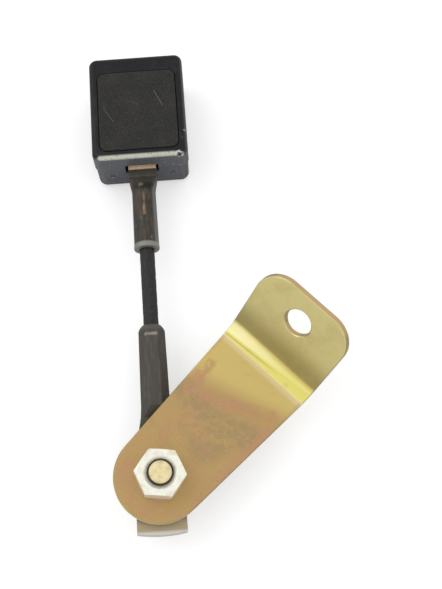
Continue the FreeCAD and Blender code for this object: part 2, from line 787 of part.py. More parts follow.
def make_upper_ferrule():
    """Upper ferrule: rolled mouth, round tube, pressed flat into a riveted strap."""
    body = new_body("upper_ferrule")
    tube = sketch_on(body, "XY_Plane", "ferrule_tube")
    rim = "(ferrule_rim_diameter / 2)"
    low = "(ferrule_low_diameter / 2)"
    high = "(ferrule_high_diameter / 2)"
    bead = "ferrule_bead"
    outline(tube, [
        ("0", ROPE_END),
        (f"{rim} - {bead}", ROPE_END),
        (rim, f"{ROPE_END} + {bead}"),
        (rim, f"{ROPE_END} + ferrule_rim_length - 2 * {bead}"),
        (low, f"{ROPE_END} + ferrule_rim_length"),
        (high, FERRULE_FLAT),
        ("0", FERRULE_FLAT),
    ], {1: (bead, 1)})
    turned(body, "Revolution", tube)
    round_end = sketch_on(body, "XZ_Plane", "ferrule_round_section", f"-{FERRULE_FLAT}")
    circle(round_end, "0", "0", high)
    flat_end = sketch_on(body, "XZ_Plane", "ferrule_flat_section",
                         f"-({FERRULE_FLAT} + ferrule_flat_length)")
    ellipse(flat_end, "(ferrule_flat_width / 2)", "(ferrule_flat_height / 2)")
    loft(body, [round_end, flat_end])
    lip = sketch_on(body, "XZ_Plane", "ferrule_lip_section",
                    f"-({FERRULE_FLAT} + ferrule_flat_length)")
    ellipse(lip, "(ferrule_flat_width / 2)", "(ferrule_flat_height / 2)")
    pad(body, lip, "ferrule_lip", reverse=True)
    strap = sketch_on(body, "XY_Plane", "strap_plan", "strap_lift")
    strap_end = f"({FERRULE_END} + housing_gap + strap_length)"
    outline(strap, [
        ("-strap_width / 2", f"{FERRULE_END} - ferrule_lip"),
        ("strap_width / 2", f"{FERRULE_END} - ferrule_lip"),
        ("strap_width / 2", f"{strap_end} - strap_bevel"),
        ("strap_width / 2 - strap_bevel", strap_end),
        ("-strap_width / 2 + strap_bevel", strap_end),
        ("-strap_width / 2", f"{strap_end} - strap_bevel"),
    ])
    pad(body, strap, "strap_thick")
    rivet = sketch_on(body, "XY_Plane", "strap_rivet_hole", "strap_lift")
    circle(rivet, "0", f"{HOUSING_END} + strap_rivet_from_end", "strap_rivet_diameter / 2")
    pocket(body, rivet, "strap_thick + overcut", reverse=True)
    bore = sketch_on(body, "XZ_Plane", "ferrule_bore", f"-({ROPE_END} + rope_socket + face_gap)")
    circle(bore, "0", "0", "rope_diameter / 2 + rope_clearance")
    pocket(body, bore, "rope_socket + overcut", reverse=True)
    place(body, up=STALK_AXIS)


def ellipse(sketch, half_width, half_height):
    """Draw an ellipse about the origin, wide along the sketch's first axis."""
    wide = value(half_width)
    tall = value(half_height)
    origin = FreeCAD.Vector()
    shape = Part.Ellipse(FreeCAD.Vector(wide, 0, 0), FreeCAD.Vector(0, tall, 0), origin)
    index = sketch.addGeometry(shape)
    sketch.exposeInternalGeometry(index)
    major = index + 1
    minor = index + 2
    sketch.addConstraint(Sketcher.Constraint("Coincident", index, 3, -1, 1))
    sketch.addConstraint(Sketcher.Constraint("Horizontal", major))
    hold(sketch, "Distance", major, formula=f"2 * {half_width}")
    hold(sketch, "Distance", minor, formula=f"2 * {half_height}")


def make_buckle_frame():
    """Folded steel channel whose walls drop at both ends, for the strap and for the button."""
    body = new_body("buckle_frame")
    start = f"({HOUSING_END} + frame_from_end)"
    half = "(frame_width / 2)"
    channel = sketch_on(body, "XZ_Plane", "channel_section", f"-{start}")
    outline(channel, [
        (f"-{half}", FRAME_UNDER), (half, FRAME_UNDER), (half, WALL_TOP),
        (f"{half} - frame_thick", WALL_TOP), (f"{half} - frame_thick", FRAME_FLOOR),
        (f"-{half} + frame_thick", FRAME_FLOOR), (f"-{half} + frame_thick", WALL_TOP),
        (f"-{half}", WALL_TOP),
    ])
    pad(body, channel, FRAME_LENGTH, reverse=True)
    rear = sketch_on(body, "YZ_Plane", "frame_wall_slope")
    low_wall = "(strap_lift + frame_wall_low)"
    outline(rear, [
        (f"{start} - overcut", low_wall),
        (f"{start} + frame_slope_start", low_wall),
        (f"{start} + frame_slope_end", WALL_TOP),
        (f"{start} + frame_slope_end", f"{WALL_TOP} + overcut"),
        (f"{start} - overcut", f"{WALL_TOP} + overcut"),
    ])
    box_outline(rear, f"{BUTTON_END} - button_corner_radius - guide_clearance",
                f"{start} + {FRAME_LENGTH} + overcut",
                f"{BUTTON_FOOT} - button_travel - guide_clearance", f"{WALL_TOP} + overcut")
    pocket(body, rear, "2 * frame_width", middle=True)
    floor = sketch_on(body, "XY_Plane", "frame_floor_holes", FRAME_FLOOR)
    circle(floor, "0", f"{HOUSING_END} + strap_rivet_from_end", "strap_rivet_diameter / 2")
    for side in ("-", ""):
        for along in screw_places():
            circle(floor, f"{side}screw_from_middle", along, "screw_diameter / 2")
    for side in (-1, 1):
        finger_slot(floor, side)
    pocket(body, floor, "2 * frame_thick")
    pin = sketch_on(body, "YZ_Plane", "frame_pin_hole")
    circle(pin, f"{HOUSING_END} + latch_pin_from_end", "latch_pin_height", "latch_pin_diameter / 2")
    pocket(body, pin, "2 * frame_width", middle=True)
    place(body, up=STALK_AXIS)


def screw_places():
    """Give the places of the frame screws along the stalk, near each end of the frame."""
    start = f"({HOUSING_END} + frame_from_end)"
    return (f"{start} + screw_from_frame_end",
            f"{start} + {FRAME_LENGTH} - screw_from_frame_end")


def finger_slot(sketch, side):
    """Draw the slot in the frame floor that one ejector finger runs in."""
    middle = f"({side} * ejector_finger_from_middle)"
    half = "(ejector_finger_width / 2 + guide_clearance)"
    front = f"({EJECTOR_FRONT} + guide_clearance)"
    back = (f"({EJECTOR_FRONT} - ejector_finger_length"
            " - ejector_travel - guide_clearance)")
    box_outline(sketch, f"{middle} - {half}", f"{middle} + {half}", back, front)


def make_strap_rivet():
    """Steel rivet with a domed head each side, through the strap and the frame floor."""
    body = new_body("strap_rivet")
    shank = sketch_on(body, "XZ_Plane", "rivet_profile")
    head = "(strap_rivet_head / 2)"
    low = FRAME_UNDER
    dome = f"(({head} * {head} + strap_rivet_crown * strap_rivet_crown) / (2 * strap_rivet_crown))"
    outline(shank, [
        ("0", f"{low} - strap_rivet_crown"),
        (head, low),
        ("strap_rivet_diameter / 2", low),
        ("strap_rivet_diameter / 2", STRAP_TOP),
        (head, STRAP_TOP),
        ("0", f"{STRAP_TOP} + strap_rivet_crown"),
    ], {0: (dome, 1), 4: (dome, 1)})
    turned(body, "Revolution", shank)
    place(body, along=f"{HOUSING_END} + strap_rivet_from_end", up=STALK_AXIS)


def housing_plan(sketch, inset, radius):
    """Draw the rounded plan of the housing, drawn in by an inset."""
    rounded_outline(
        sketch,
        f"-housing_width / 2 + {inset}", f"housing_width / 2 - {inset}",
        f"{HOUSING_END} + {inset}", f"{HOUSING_END} + housing_length - {inset}",
        radius)


def end_slots(body, prefix):
    """Cut the strap's slot in the lower end and the tongue's slot in the upper end."""
    strap = sketch_on(body, "XZ_Plane", f"{prefix}_strap_slot", f"-({HOUSING_END} - overcut)")
    box_outline(strap, "-strap_slot_width / 2", "strap_slot_width / 2",
                "-strap_slot_low", "strap_slot_high")
    pocket(body, strap, "2 * wall + overcut")
    tongue = sketch_on(body, "XZ_Plane", f"{prefix}_tongue_slot",
                       f"-({HOUSING_END} + housing_length + overcut)")
    box_outline(tongue, "-tongue_slot_width / 2", "tongue_slot_width / 2",
                FRAME_FLOOR, f"{FRAME_FLOOR} + tongue_slot_height")
    pocket(body, tongue, "2 * wall + overcut", reverse=True)


def make_rear_cover():
    """Lower shell: rounded tray with screw bosses, slots and the ejector spring's seat."""
    body = new_body("rear_cover")
    plan = sketch_on(body, "XY_Plane", "rear_plan", HOUSING_FLOOR)
    housing_plan(plan, "rear_inset", "housing_corner_radius")
    block = pad(body, plan, f"seam_height - {HOUSING_FLOOR}")
    floor = value(HOUSING_FLOOR)
    fillet(body, block, lambda item, middle: abs(middle.z - floor) < NEAR, "rear_edge_radius")
    inside = sketch_on(body, "XY_Plane", "rear_hollow", "seam_height")
    housing_plan(inside, "(wall + rear_inset)", "(housing_corner_radius - wall / 2)")
    pocket(body, inside, f"seam_height - {HOUSING_FLOOR} - wall")
    bosses = sketch_on(body, "XY_Plane", "rear_bosses", f"{HOUSING_FLOOR} + wall")
    for side in ("-", ""):
        for along in screw_places():
            circle(bosses, f"{side}screw_from_middle", along, "boss_radius")
    pad(body, bosses, f"{FRAME_UNDER} - {HOUSING_FLOOR} - wall")
    seat = sketch_on(body, "XY_Plane", "rear_spring_seat", f"{HOUSING_FLOOR} + wall")
    box_outline(seat, "-spring_seat_half_width", "spring_seat_half_width",
                f"{HOUSING_END} + spring_seat_from_end",
                f"{HOUSING_END} + spring_seat_from_end + spring_seat_thick")
    pad(body, seat, f"{FRAME_UNDER} - {HOUSING_FLOOR} - wall - face_gap")
    rails = sketch_on(body, "XY_Plane", "rear_rails", f"{HOUSING_FLOOR} + wall")
    for side in (-1, 1):
        middle = f"({side} * rail_from_middle)"
        box_outline(rails, f"{middle} - rail_thick / 2", f"{middle} + rail_thick / 2",
                    f"{HOUSING_END} + spring_seat_from_end + spring_seat_thick",
                    EJECTOR_FRONT)
    pad(body, rails, f"{FRAME_UNDER} - 2 * face_gap - ejector_height - {HOUSING_FLOOR} - wall")
    holes = sketch_on(body, "XY_Plane", "rear_screw_holes", HOUSING_FLOOR)
    recess = sketch_on(body, "XY_Plane", "rear_screw_recess", HOUSING_FLOOR)
    for side in ("-", ""):
        for along in screw_places():
            circle(holes, f"{side}screw_from_middle", along,
                   "screw_diameter / 2 + screw_hole_clearance")
            circle(recess, f"{side}screw_from_middle", along,
                   "screw_head_diameter / 2 + screw_hole_clearance")
    pocket(body, holes, f"{FRAME_UNDER} - {HOUSING_FLOOR} + overcut", reverse=True)
    pocket(body, recess, "screw_recess", reverse=True)
    end_slots(body, "rear")
    pips = sketch_on(body, "XZ_Plane", "rear_pips", f"-({HOUSING_END} + rear_inset + wall / 2)")
    for side in ("-", ""):
        circle(pips, f"{side}pip_spacing / 2", "-pip_drop", "pip_radius")
    pad(body, pips, "pip_height + wall / 2")
    place(body, up=STALK_AXIS)


def make_front_cover():
    """Upper shell: rounded lid with the button's window, slots and snap tabs."""
    body = new_body("front_cover")
    plan = sketch_on(body, "XY_Plane", "front_plan", "seam_height")
    housing_plan(plan, "0", "housing_corner_radius")
    block = pad(body, plan, "housing_top - seam_height")
    top = value("housing_top")
    fillet(body, block, lambda item, middle: abs(middle.z - top) < NEAR, "front_edge_radius")
    inside = sketch_on(body, "XY_Plane", "front_hollow", "seam_height")
    housing_plan(inside, "wall", "(housing_corner_radius - wall / 2)")
    pocket(body, inside, f"{COVER_UNDER} - seam_height", reverse=True)
    window = sketch_on(body, "XY_Plane", "button_window", "housing_top")
    button_plan(window, "(-button_gap)", "(button_corner_radius + button_gap)")
    pocket(body, window, "2 * wall")
    inner_wall = "(housing_width / 2 - wall)"
    add_snap_blocks(body, "snap_roots", "seam_height", f"({inner_wall} + wall / 2)", "snap_root")
    add_snap_blocks(body, "snap_tabs", "(seam_height - snap_reach)",
                    f"({inner_wall} - rear_inset - face_gap)", "(snap_reach + snap_root)")
    end_slots(body, "front")
    place(body, up=STALK_AXIS)


def add_snap_blocks(body, name, low, outer, height):
    """Raise four blocks along the sides, two each side, where the lid snaps into the tray."""
    blocks = sketch_on(body, "XY_Plane", name, low)
    inner = "(housing_width / 2 - wall - rear_inset - face_gap - snap_thick)"
    for side in (-1, 1):
        edges = sorted([f"({side} * {outer})", f"({side} * {inner})"], key=value)
        for along in (f"{HOUSING_END} + snap_from_end",
                      f"{HOUSING_END} + housing_length - snap_from_end"):
            box_outline(blocks, edges[0], edges[1],
                        f"{along} - snap_width / 2", f"{along} + snap_width / 2")
    pad(body, blocks, height)


def button_plan(sketch, inset, radius):
    """Draw the rounded plan of the release button, drawn in by an inset."""
    rounded_outline(
        sketch,
        f"-housing_width / 2 + button_margin_side + button_gap + {inset}",
        f"housing_width / 2 - button_margin_side - button_gap - {inset}",
        f"{HOUSING_END} + button_margin_front + button_gap + {inset}",
        f"{BUTTON_END} - {inset}",
        radius)


def make_release_button():
    """Press button: shallow cap with a skirt, retaining lips, presser rib and spring pegs."""
    body = new_body("release_button")
    plan = sketch_on(body, "XY_Plane", "button_top", BUTTON_TOP)
    button_plan(plan, "0", "button_corner_radius")
    block = pad(body, plan, "button_depth", reverse=True)
    top = value(BUTTON_TOP)
    fillet(body, block, lambda item, middle: abs(middle.z - top) < NEAR, "button_edge_round")
    inside = sketch_on(body, "XY_Plane", "button_hollow", BUTTON_FOOT)
    button_plan(inside, "button_skirt", "(button_corner_radius - button_skirt / 2)")
    pocket(body, inside, "button_depth - button_plate", reverse=True)
    front = f"({HOUSING_END} + button_margin_front + button_gap)"
    half = "(housing_width / 2 - button_margin_side - button_gap - button_corner_radius)"
    lips = sketch_on(body, "XY_Plane", "button_lips", f"{COVER_UNDER} - button_gap")
    box_outline(lips, f"-{half}", half, f"{front} - button_lip",
                f"{front} + button_skirt / 2")
    box_outline(lips, f"-{half}", half, f"{BUTTON_END} - button_skirt / 2",
                f"{BUTTON_END} + button_lip")
    pad(body, lips, "button_lip_thick", reverse=True)
    rib = sketch_on(body, "XY_Plane", "presser_rib", BUTTON_UNDER)
    press = f"({HOUSING_END} + latch_pin_from_end - latch_press_arm)"
    box_outline(rib, "-presser_width / 2", "presser_width / 2",
                f"{press} - presser_length / 2", f"{press} + presser_length / 2")
    pad(body, rib, f"{BUTTON_UNDER} - latch_pin_height - latch_thick / 2 - button_gap",
        reverse=True)
    stops = sketch_on(body, "XY_Plane", "stop_ribs", BUTTON_UNDER)
    for side in (-1, 1):
        middle = f"({side} * (frame_width - frame_thick) / 2)"
        box_outline(stops, f"{middle} - button_skirt / 2", f"{middle} + button_skirt / 2",
                    f"{HOUSING_END} + button_spring_from_end - stop_rib_length / 2",
                    f"{HOUSING_END} + button_spring_from_end + stop_rib_length / 2")
    pad(body, stops, f"{BUTTON_UNDER} - {WALL_TOP} - button_travel - face_gap", reverse=True)
    pegs = sketch_on(body, "XY_Plane", "spring_pegs", BUTTON_UNDER)
    for side in ("-", ""):
        circle(pegs, f"{side}{BUTTON_SPRING_ACROSS}",
               f"{HOUSING_END} + button_spring_from_end",
               "button_spring_radius - button_spring_wire / 2 - spring_gap")
    pad(body, pegs, "button_plate", reverse=True)
    place(body, up=STALK_AXIS)


def make_latch_plate():
    """Rocking latch: hub on the pin, press arm behind it, hook in front."""
    body = new_body("latch_plate")
    side = sketch_on(body, "YZ_Plane", "latch_side")
    half = "(latch_thick / 2)"
    hub = "latch_hub_radius"
    hub_y = f"sqrt({hub} * {hub} - {half} * {half})"
    outline(side, [
        ("-latch_rear_arm", f"-{half}"),
        (f"-{hub_y}", f"-{half}"),
        (hub_y, f"-{half}"),
        ("latch_front_arm - latch_hook", f"-{half}"),
        ("latch_front_arm - latch_hook", "-latch_hook_drop"),
        ("latch_front_arm - latch_hook_tip", "-latch_hook_drop"),
        ("latch_front_arm", "-latch_hook_drop + latch_hook_bevel"),
        ("latch_front_arm", half),
        ("-latch_rear_arm", half),
    ], {1: (hub, 1)})
    pad(body, side, "2 * latch_half_width", middle=True)
    cap = sketch_on(body, "YZ_Plane", "latch_hub")
    circle(cap, "0", "0", "latch_hub_radius")
    pad(body, cap, "2 * latch_half_width", middle=True)
    bore = sketch_on(body, "YZ_Plane", "latch_bore")
    circle(bore, "0", "0", "latch_pin_diameter / 2 + running_clearance")
    pocket(body, bore, "4 * latch_half_width", middle=True)
    place(body, along=f"{HOUSING_END} + latch_pin_from_end",
          up=f"{STALK_AXIS} + latch_pin_height")


def make_latch_pin():
    """Plain steel pin across the frame, with a flat head at each end."""
    body = new_body("latch_pin")
    pin = sketch_on(body, "YZ_Plane", "pin_round")
    circle(pin, "0", "0", "latch_pin_diameter / 2")
    pad(body, pin, "frame_width", middle=True)
    for name, reverse in (("pin_head_right", False), ("pin_head_left", True)):
        offset = "-frame_width / 2" if reverse else "frame_width / 2"
        head = sketch_on(body, "YZ_Plane", name, offset)
        circle(head, "0", "0", "latch_pin_head / 2")
        pad(body, head, "latch_pin_head_thick", reverse=reverse)
    place(body, along=f"{HOUSING_END} + latch_pin_from_end",
          up=f"{STALK_AXIS} + latch_pin_height")


def make_ejector():
    """Sliding ejector below the frame floor, with two fingers that push the tongue out."""
    body = new_body("ejector_slider")
    top = f"({FRAME_UNDER} - face_gap)"
    plan = sketch_on(body, "XY_Plane", "ejector_plan", top)
    outline(plan, [
        ("-ejector_half_width", f"{EJECTOR_FRONT} - ejector_length"),
        ("ejector_half_width", f"{EJECTOR_FRONT} - ejector_length"),
        ("ejector_half_width", EJECTOR_FRONT),
        ("ejector_notch_half_width", EJECTOR_FRONT),
        ("ejector_notch_half_width", f"{EJECTOR_FRONT} - ejector_notch_depth"),
        ("-ejector_notch_half_width", f"{EJECTOR_FRONT} - ejector_notch_depth"),
        ("-ejector_notch_half_width", EJECTOR_FRONT),
        ("-ejector_half_width", EJECTOR_FRONT),
    ])
    pad(body, plan, "ejector_height", reverse=True)
    fingers = sketch_on(body, "XY_Plane", "ejector_fingers", f"{top} - ejector_finger_root")
    for side in (-1, 1):
        middle = f"({side} * ejector_finger_from_middle)"
        box_outline(fingers, f"{middle} - ejector_finger_width / 2",
                    f"{middle} + ejector_finger_width / 2",
                    f"{EJECTOR_FRONT} - ejector_finger_length", EJECTOR_FRONT)
    pad(body, fingers, "ejector_finger_root + face_gap + frame_thick + ejector_finger_rise")
    place(body, up=STALK_AXIS)


def make_screws():
    """Four pan-head screws from below that hold the rear cover to the frame."""
    body = new_body("frame_screws")
    seat = f"({HOUSING_FLOOR} + screw_recess)"
    shanks = sketch_on(body, "XY_Plane", "screw_shanks", seat)
    heads = sketch_on(body, "XY_Plane", "screw_heads", seat)
    for side in ("-", ""):
        for along in screw_places():
            circle(shanks, f"{side}screw_from_middle", along, "screw_diameter / 2")
            circle(heads, f"{side}screw_from_middle", along, "screw_head_diameter / 2")
    pad(body, shanks, f"{FRAME_FLOOR} - {seat}")
    pad(body, heads, "screw_head_thick", reverse=True)
    place(body, up=STALK_AXIS)


def coil(radius, wire, turns, height):
    """Wind a compression spring of square wire along Z, from 0 to its height.

    Each half turn is a half ring tilted about the Y direction, so that it climbs half a pitch
    and meets the next one square. The wire's section is carried on from one half to the next.
    """
    halves = int(round(2 * turns))
    climb = (height - wire) / halves
    begin = FreeCAD.Vector(radius, 0, wire / 2)
    turns_round = [math.pi * (2 * side + 1) / WIRE_SIDES for side in range(WIRE_SIDES)]
    reach = wire / 2 / math.cos(math.pi / WIRE_SIDES)
    corners = [begin + FreeCAD.Vector(math.cos(turn), 0, math.sin(turn)) * reach
               for turn in turns_round]
    section = Part.makePolygon(corners + corners[:1])
    faces = [Part.Face(section)]
    for step in range(halves):
        side = 1 if step % 2 == 0 else -1
        start = FreeCAD.Vector(side * radius, 0, wire / 2 + step * climb)
        stop = FreeCAD.Vector(-side * radius, 0, wire / 2 + (step + 1) * climb)
        centre = (start + stop) * 0.5
        axis = (start - centre).cross(FreeCAD.Vector(0, side, 0))
        faces.extend(section.revolve(centre, axis, 180).Faces)
        section = section.rotated(centre, axis, 180)
    faces.append(Part.Face(section))
    shell = Part.makeShell(faces)
    shell.sewShape()
    solid = Part.Solid(shell)
    if solid.Volume < 0:
        solid.reverse()
    return solid


def add_spring(label, coils):
    """Keep one or more wound coils as one node."""
    item = document.addObject("Part::Feature", label)
    item.Label = label
    parts.append(item)
    item.Shape = coils[0] if len(coils) == 1 else Part.makeCompound(coils)
    return item


def make_springs():
    """Wind the button's two springs, the latch's spring and the ejector's spring."""
    wire = value("button_spring_wire")
    height = value(f"{BUTTON_UNDER} - {FRAME_FLOOR} - 2 * spring_gap")
    coils = []
    for side in (-1, 1):
        turned_coil = coil(value("button_spring_radius"), wire,
                           value("button_spring_turns"), height)
        turned_coil.translate(FreeCAD.Vector(side * value(BUTTON_SPRING_ACROSS), 0, 0))
        coils.append(turned_coil)
    pair = add_spring("button_springs", coils)
    place(pair, along=f"{HOUSING_END} + button_spring_from_end",
          up=f"{STALK_AXIS} + {FRAME_FLOOR} + spring_gap")

    height = value(f"latch_pin_height - latch_thick / 2 - {FRAME_FLOOR} - 2 * spring_gap")
    short = coil(value("latch_spring_radius"), value("latch_spring_wire"),
                 value("latch_spring_turns"), height)
    spring = add_spring("latch_spring", [short])
    place(spring, along=f"{HOUSING_END} + latch_pin_from_end - latch_spring_arm",
          up=f"{STALK_AXIS} + {FRAME_FLOOR} + spring_gap")

    seat = f"({HOUSING_END} + spring_seat_from_end + spring_seat_thick)"
    height = value(f"{EJECTOR_FRONT} - ejector_length - {seat} - 2 * spring_gap")
    long_coil = coil(value("ejector_spring_radius"), value("ejector_spring_wire"),
                     value("ejector_spring_turns"), height)
    spring = add_spring("ejector_spring", [long_coil])
    place(spring, along=f"{seat} + spring_gap",
          up=f"{STALK_AXIS} + {FRAME_UNDER} - face_gap - ejector_height / 2", tip="-90")


def write_parts():
    """Check every object, then write each piece to its own file."""
    document.recompute()
    for item in document.Objects:
        if "Invalid" in item.State or "Error" in item.State:
            raise RuntimeError(f"{item.Name} failed: {item.State}")
    for item in parts:
        if item.Shape.isNull() or not item.Shape.isValid():
            raise RuntimeError(f"{item.Label} has no valid shape")
    os.makedirs("parts", exist_ok=True)
    for item in parts:
        item.Shape.exportStep(f"parts/{item.Label}.step")


make_bracket_plate()
make_pivot_bolt()
make_pivot_nut()
make_wave_washer()
make_ring("spacer_washer", SPACER_TOP, "spacer_thick", "washer_diameter")
make_ring("friction_washer", FRICTION_TOP, "friction_washer_thick", "washer_diameter")
make_lower_terminal()
make_wire_rope()
make_upper_ferrule()
make_buckle_frame()
make_strap_rivet()
make_rear_cover()
make_front_cover()
make_release_button()
make_latch_plate()
make_latch_pin()
make_ejector()
make_screws()
make_springs()
write_parts()
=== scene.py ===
"""Finishes of a seat belt buckle stalk on its anchor bracket: rope strands, metals and plastics."""

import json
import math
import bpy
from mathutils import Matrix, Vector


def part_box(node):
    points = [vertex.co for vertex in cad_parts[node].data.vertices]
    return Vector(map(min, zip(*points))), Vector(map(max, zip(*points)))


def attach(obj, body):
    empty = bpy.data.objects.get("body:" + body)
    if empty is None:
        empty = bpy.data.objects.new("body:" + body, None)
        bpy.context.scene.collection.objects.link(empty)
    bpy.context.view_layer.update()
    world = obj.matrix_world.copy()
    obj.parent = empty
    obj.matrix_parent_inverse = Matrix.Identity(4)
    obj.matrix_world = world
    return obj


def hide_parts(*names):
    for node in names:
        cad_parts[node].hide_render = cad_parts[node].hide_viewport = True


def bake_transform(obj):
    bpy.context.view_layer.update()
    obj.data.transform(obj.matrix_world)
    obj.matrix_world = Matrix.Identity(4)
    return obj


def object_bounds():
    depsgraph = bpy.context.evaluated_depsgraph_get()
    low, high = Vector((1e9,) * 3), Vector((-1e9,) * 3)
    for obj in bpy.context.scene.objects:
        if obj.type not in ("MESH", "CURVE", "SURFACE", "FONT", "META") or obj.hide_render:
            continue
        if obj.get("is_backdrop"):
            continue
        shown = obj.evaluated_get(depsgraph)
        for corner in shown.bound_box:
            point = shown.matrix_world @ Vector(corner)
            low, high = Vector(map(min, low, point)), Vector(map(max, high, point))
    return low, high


bl_info = {
    "name": "Belt Anchor Finish",
    "version": (1, 0, 0),
    "blender": (4, 5, 0),
    "location": "3D View > Sidebar > Belt Anchor",
    "description": "Dresses a seat belt buckle stalk and its anchor bracket",
    "category": "Object",
}

import bpy
import numpy as np
from mathutils import Matrix, Vector

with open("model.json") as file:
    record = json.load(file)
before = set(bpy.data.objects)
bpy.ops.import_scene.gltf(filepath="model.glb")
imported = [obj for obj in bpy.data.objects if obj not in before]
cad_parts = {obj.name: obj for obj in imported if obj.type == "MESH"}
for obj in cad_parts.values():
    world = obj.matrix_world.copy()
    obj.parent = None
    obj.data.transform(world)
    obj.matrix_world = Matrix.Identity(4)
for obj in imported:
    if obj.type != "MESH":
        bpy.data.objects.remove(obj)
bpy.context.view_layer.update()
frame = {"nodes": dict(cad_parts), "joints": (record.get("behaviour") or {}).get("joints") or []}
NODES = frame["nodes"]
JOINTS = {joint["name"]: joint for joint in frame["joints"]}
MM = 0.001

PIVOT = JOINTS["stalk_swivel"]["pos_m"]
LEAN_AXIS = JOINTS["stalk_swivel"]["axis"]
ROPE_X, _, ROPE_Z = JOINTS["rope_sideways"]["pos_m"]
LOW_BEND = JOINTS["rope_sideways"]["pos_m"][1]
HIGH_BEND = JOINTS["rope_lift"]["pos_m"][1]


# Sizes and colours that a user may change


def length(name, text, default):
    """A length property in metres, with its name and description."""
    return bpy.props.FloatProperty(name=name, description=text, default=default,
                                   min=0.0, unit="LENGTH", precision=5)


def colour(name, text, default):
    """A colour property with its name and description."""
    return bpy.props.FloatVectorProperty(name=name, description=text, default=default,
                                         size=3, min=0.0, max=1.0, subtype="COLOR")


def share(name, text, default, high=1.0):
    """A plain number property between nothing and a highest value."""
    return bpy.props.FloatProperty(name=name, description=text, default=default,
                                   min=0.0, max=high)


class BeltRopeSettings(bpy.types.PropertyGroup):
    """Sizes of the wire rope's strands."""

    radius: length("Radius", "Rope's outer radius over the strands", 3.14 * MM)
    groove: length("Groove", "Depth of the groove between two strands", 0.20 * MM)
    lay: length("Lay", "Length in which a strand goes once round", 46.0 * MM)
    strands: bpy.props.IntProperty(name="Strands", description="Strands seen round the rope",
                                   default=8, min=3, max=16)


class BeltThreadSettings(bpy.types.PropertyGroup):
    """Sizes of the thread that shows round the bolt's end."""

    pitch: length("Pitch", "Distance from one thread turn to the next", 1.27 * MM)
    depth: length("Depth", "Height of a thread turn over the core", 0.42 * MM)
    reach: length("Reach", "Length of thread shown below the bolt's chamfer", 3.4 * MM)


class BeltColourSettings(bpy.types.PropertyGroup):
    """Colours of the finishes."""

    gold: colour("Gold zinc", "Main colour of the bracket", (0.43, 0.325, 0.080))
    rose: colour("Rose zinc", "Pink patches of the bracket", (0.48, 0.225, 0.130))
    moss: colour("Moss zinc", "Green-grey patches of the bracket", (0.170, 0.205, 0.080))
    # Painted highlight colour of the shank just before the bend.
    pale: colour("Pale zinc", "Smooth bright zinc by the bend", (0.82, 0.75, 0.19))
    silver: colour("Nut zinc", "Silver zinc of the nut", (0.92, 0.91, 0.78))
    straw: colour("Bolt zinc", "Pale gold of the bolt's end", (0.86, 0.72, 0.40))
    oxide: colour("Oxide", "Dark oxide of the terminal", (0.066, 0.060, 0.052))
    bronze: colour("Bronze", "Worn brown of the sleeves", (0.100, 0.083, 0.062))
    copper: colour("Copper", "Rusty strap in the slot", (0.90, 0.58, 0.34))
    coat: colour("Rope coat", "Black coat of the rope", (0.014, 0.013, 0.013))
    shell: colour("Housing", "Black plastic of the covers", (0.006, 0.006, 0.008))
    panel: colour("Button", "Grained plastic of the button", (0.015, 0.0145, 0.014))
    # Pale scuff with a painted highlight, laid along the housing's front edge.
    scuff_and_highlight: colour("Worn edge", "Plastic scuffed pale", (0.52, 0.53, 0.44))
    steel: colour("Inner steel", "Plain steel inside", (0.33, 0.32, 0.30))


class BeltStageSettings(bpy.types.PropertyGroup):
    """Camera and light."""

    focal: share("Focal length", "Camera lens in millimetres", 61.12, 500.0)
    sky: share("Sky", "Strength of the even sky light", 1.0, 10.0)
    key: share("Key", "Strength of the large lamp, in watts", 1.6, 100.0)


class BeltAnchorSettings(bpy.types.PropertyGroup):
    """All settings of the finish."""

    rope: bpy.props.PointerProperty(type=BeltRopeSettings, name="Rope",
                                    description="Sizes of the wire rope's strands")
    thread: bpy.props.PointerProperty(type=BeltThreadSettings, name="Thread",
                                      description="Sizes of the bolt's thread")
    colours: bpy.props.PointerProperty(type=BeltColourSettings, name="Colours",
                                       description="Colours of the finishes")
    stage: bpy.props.PointerProperty(type=BeltStageSettings, name="Stage",
                                     description="Camera and light")


def settings():
    """The scene's own settings of this finish."""
    return bpy.context.scene.belt_anchor


# Surfaces worked out with numpy


def grid_faces(rows, columns, wrap):
    """Quads between neighbouring rows and columns; wrap joins the last column to the first."""
    last = columns if wrap else columns - 1
    row, column = np.meshgrid(np.arange(rows - 1), np.arange(last), indexing="ij")
    after = (column + 1) % columns
    corners = [row * columns + column, row * columns + after,
               (row + 1) * columns + after, (row + 1) * columns + column]
    return np.stack(corners, axis=-1).reshape(-1, 4)


def make_piece(name, points, faces, smooth=True):
    """Put whole arrays of points and quads into a new object at the origin."""
    mesh = bpy.data.meshes.new(name)
    mesh.from_pydata(points.reshape(-1, 3).tolist(), [], [list(face) for face in faces])
    mesh.update()
    mesh.polygons.foreach_set("use_smooth", np.full(len(mesh.polygons), smooth))
    piece = bpy.data.objects.new(name, mesh)
    bpy.context.scene.collection.objects.link(piece)
    return piece


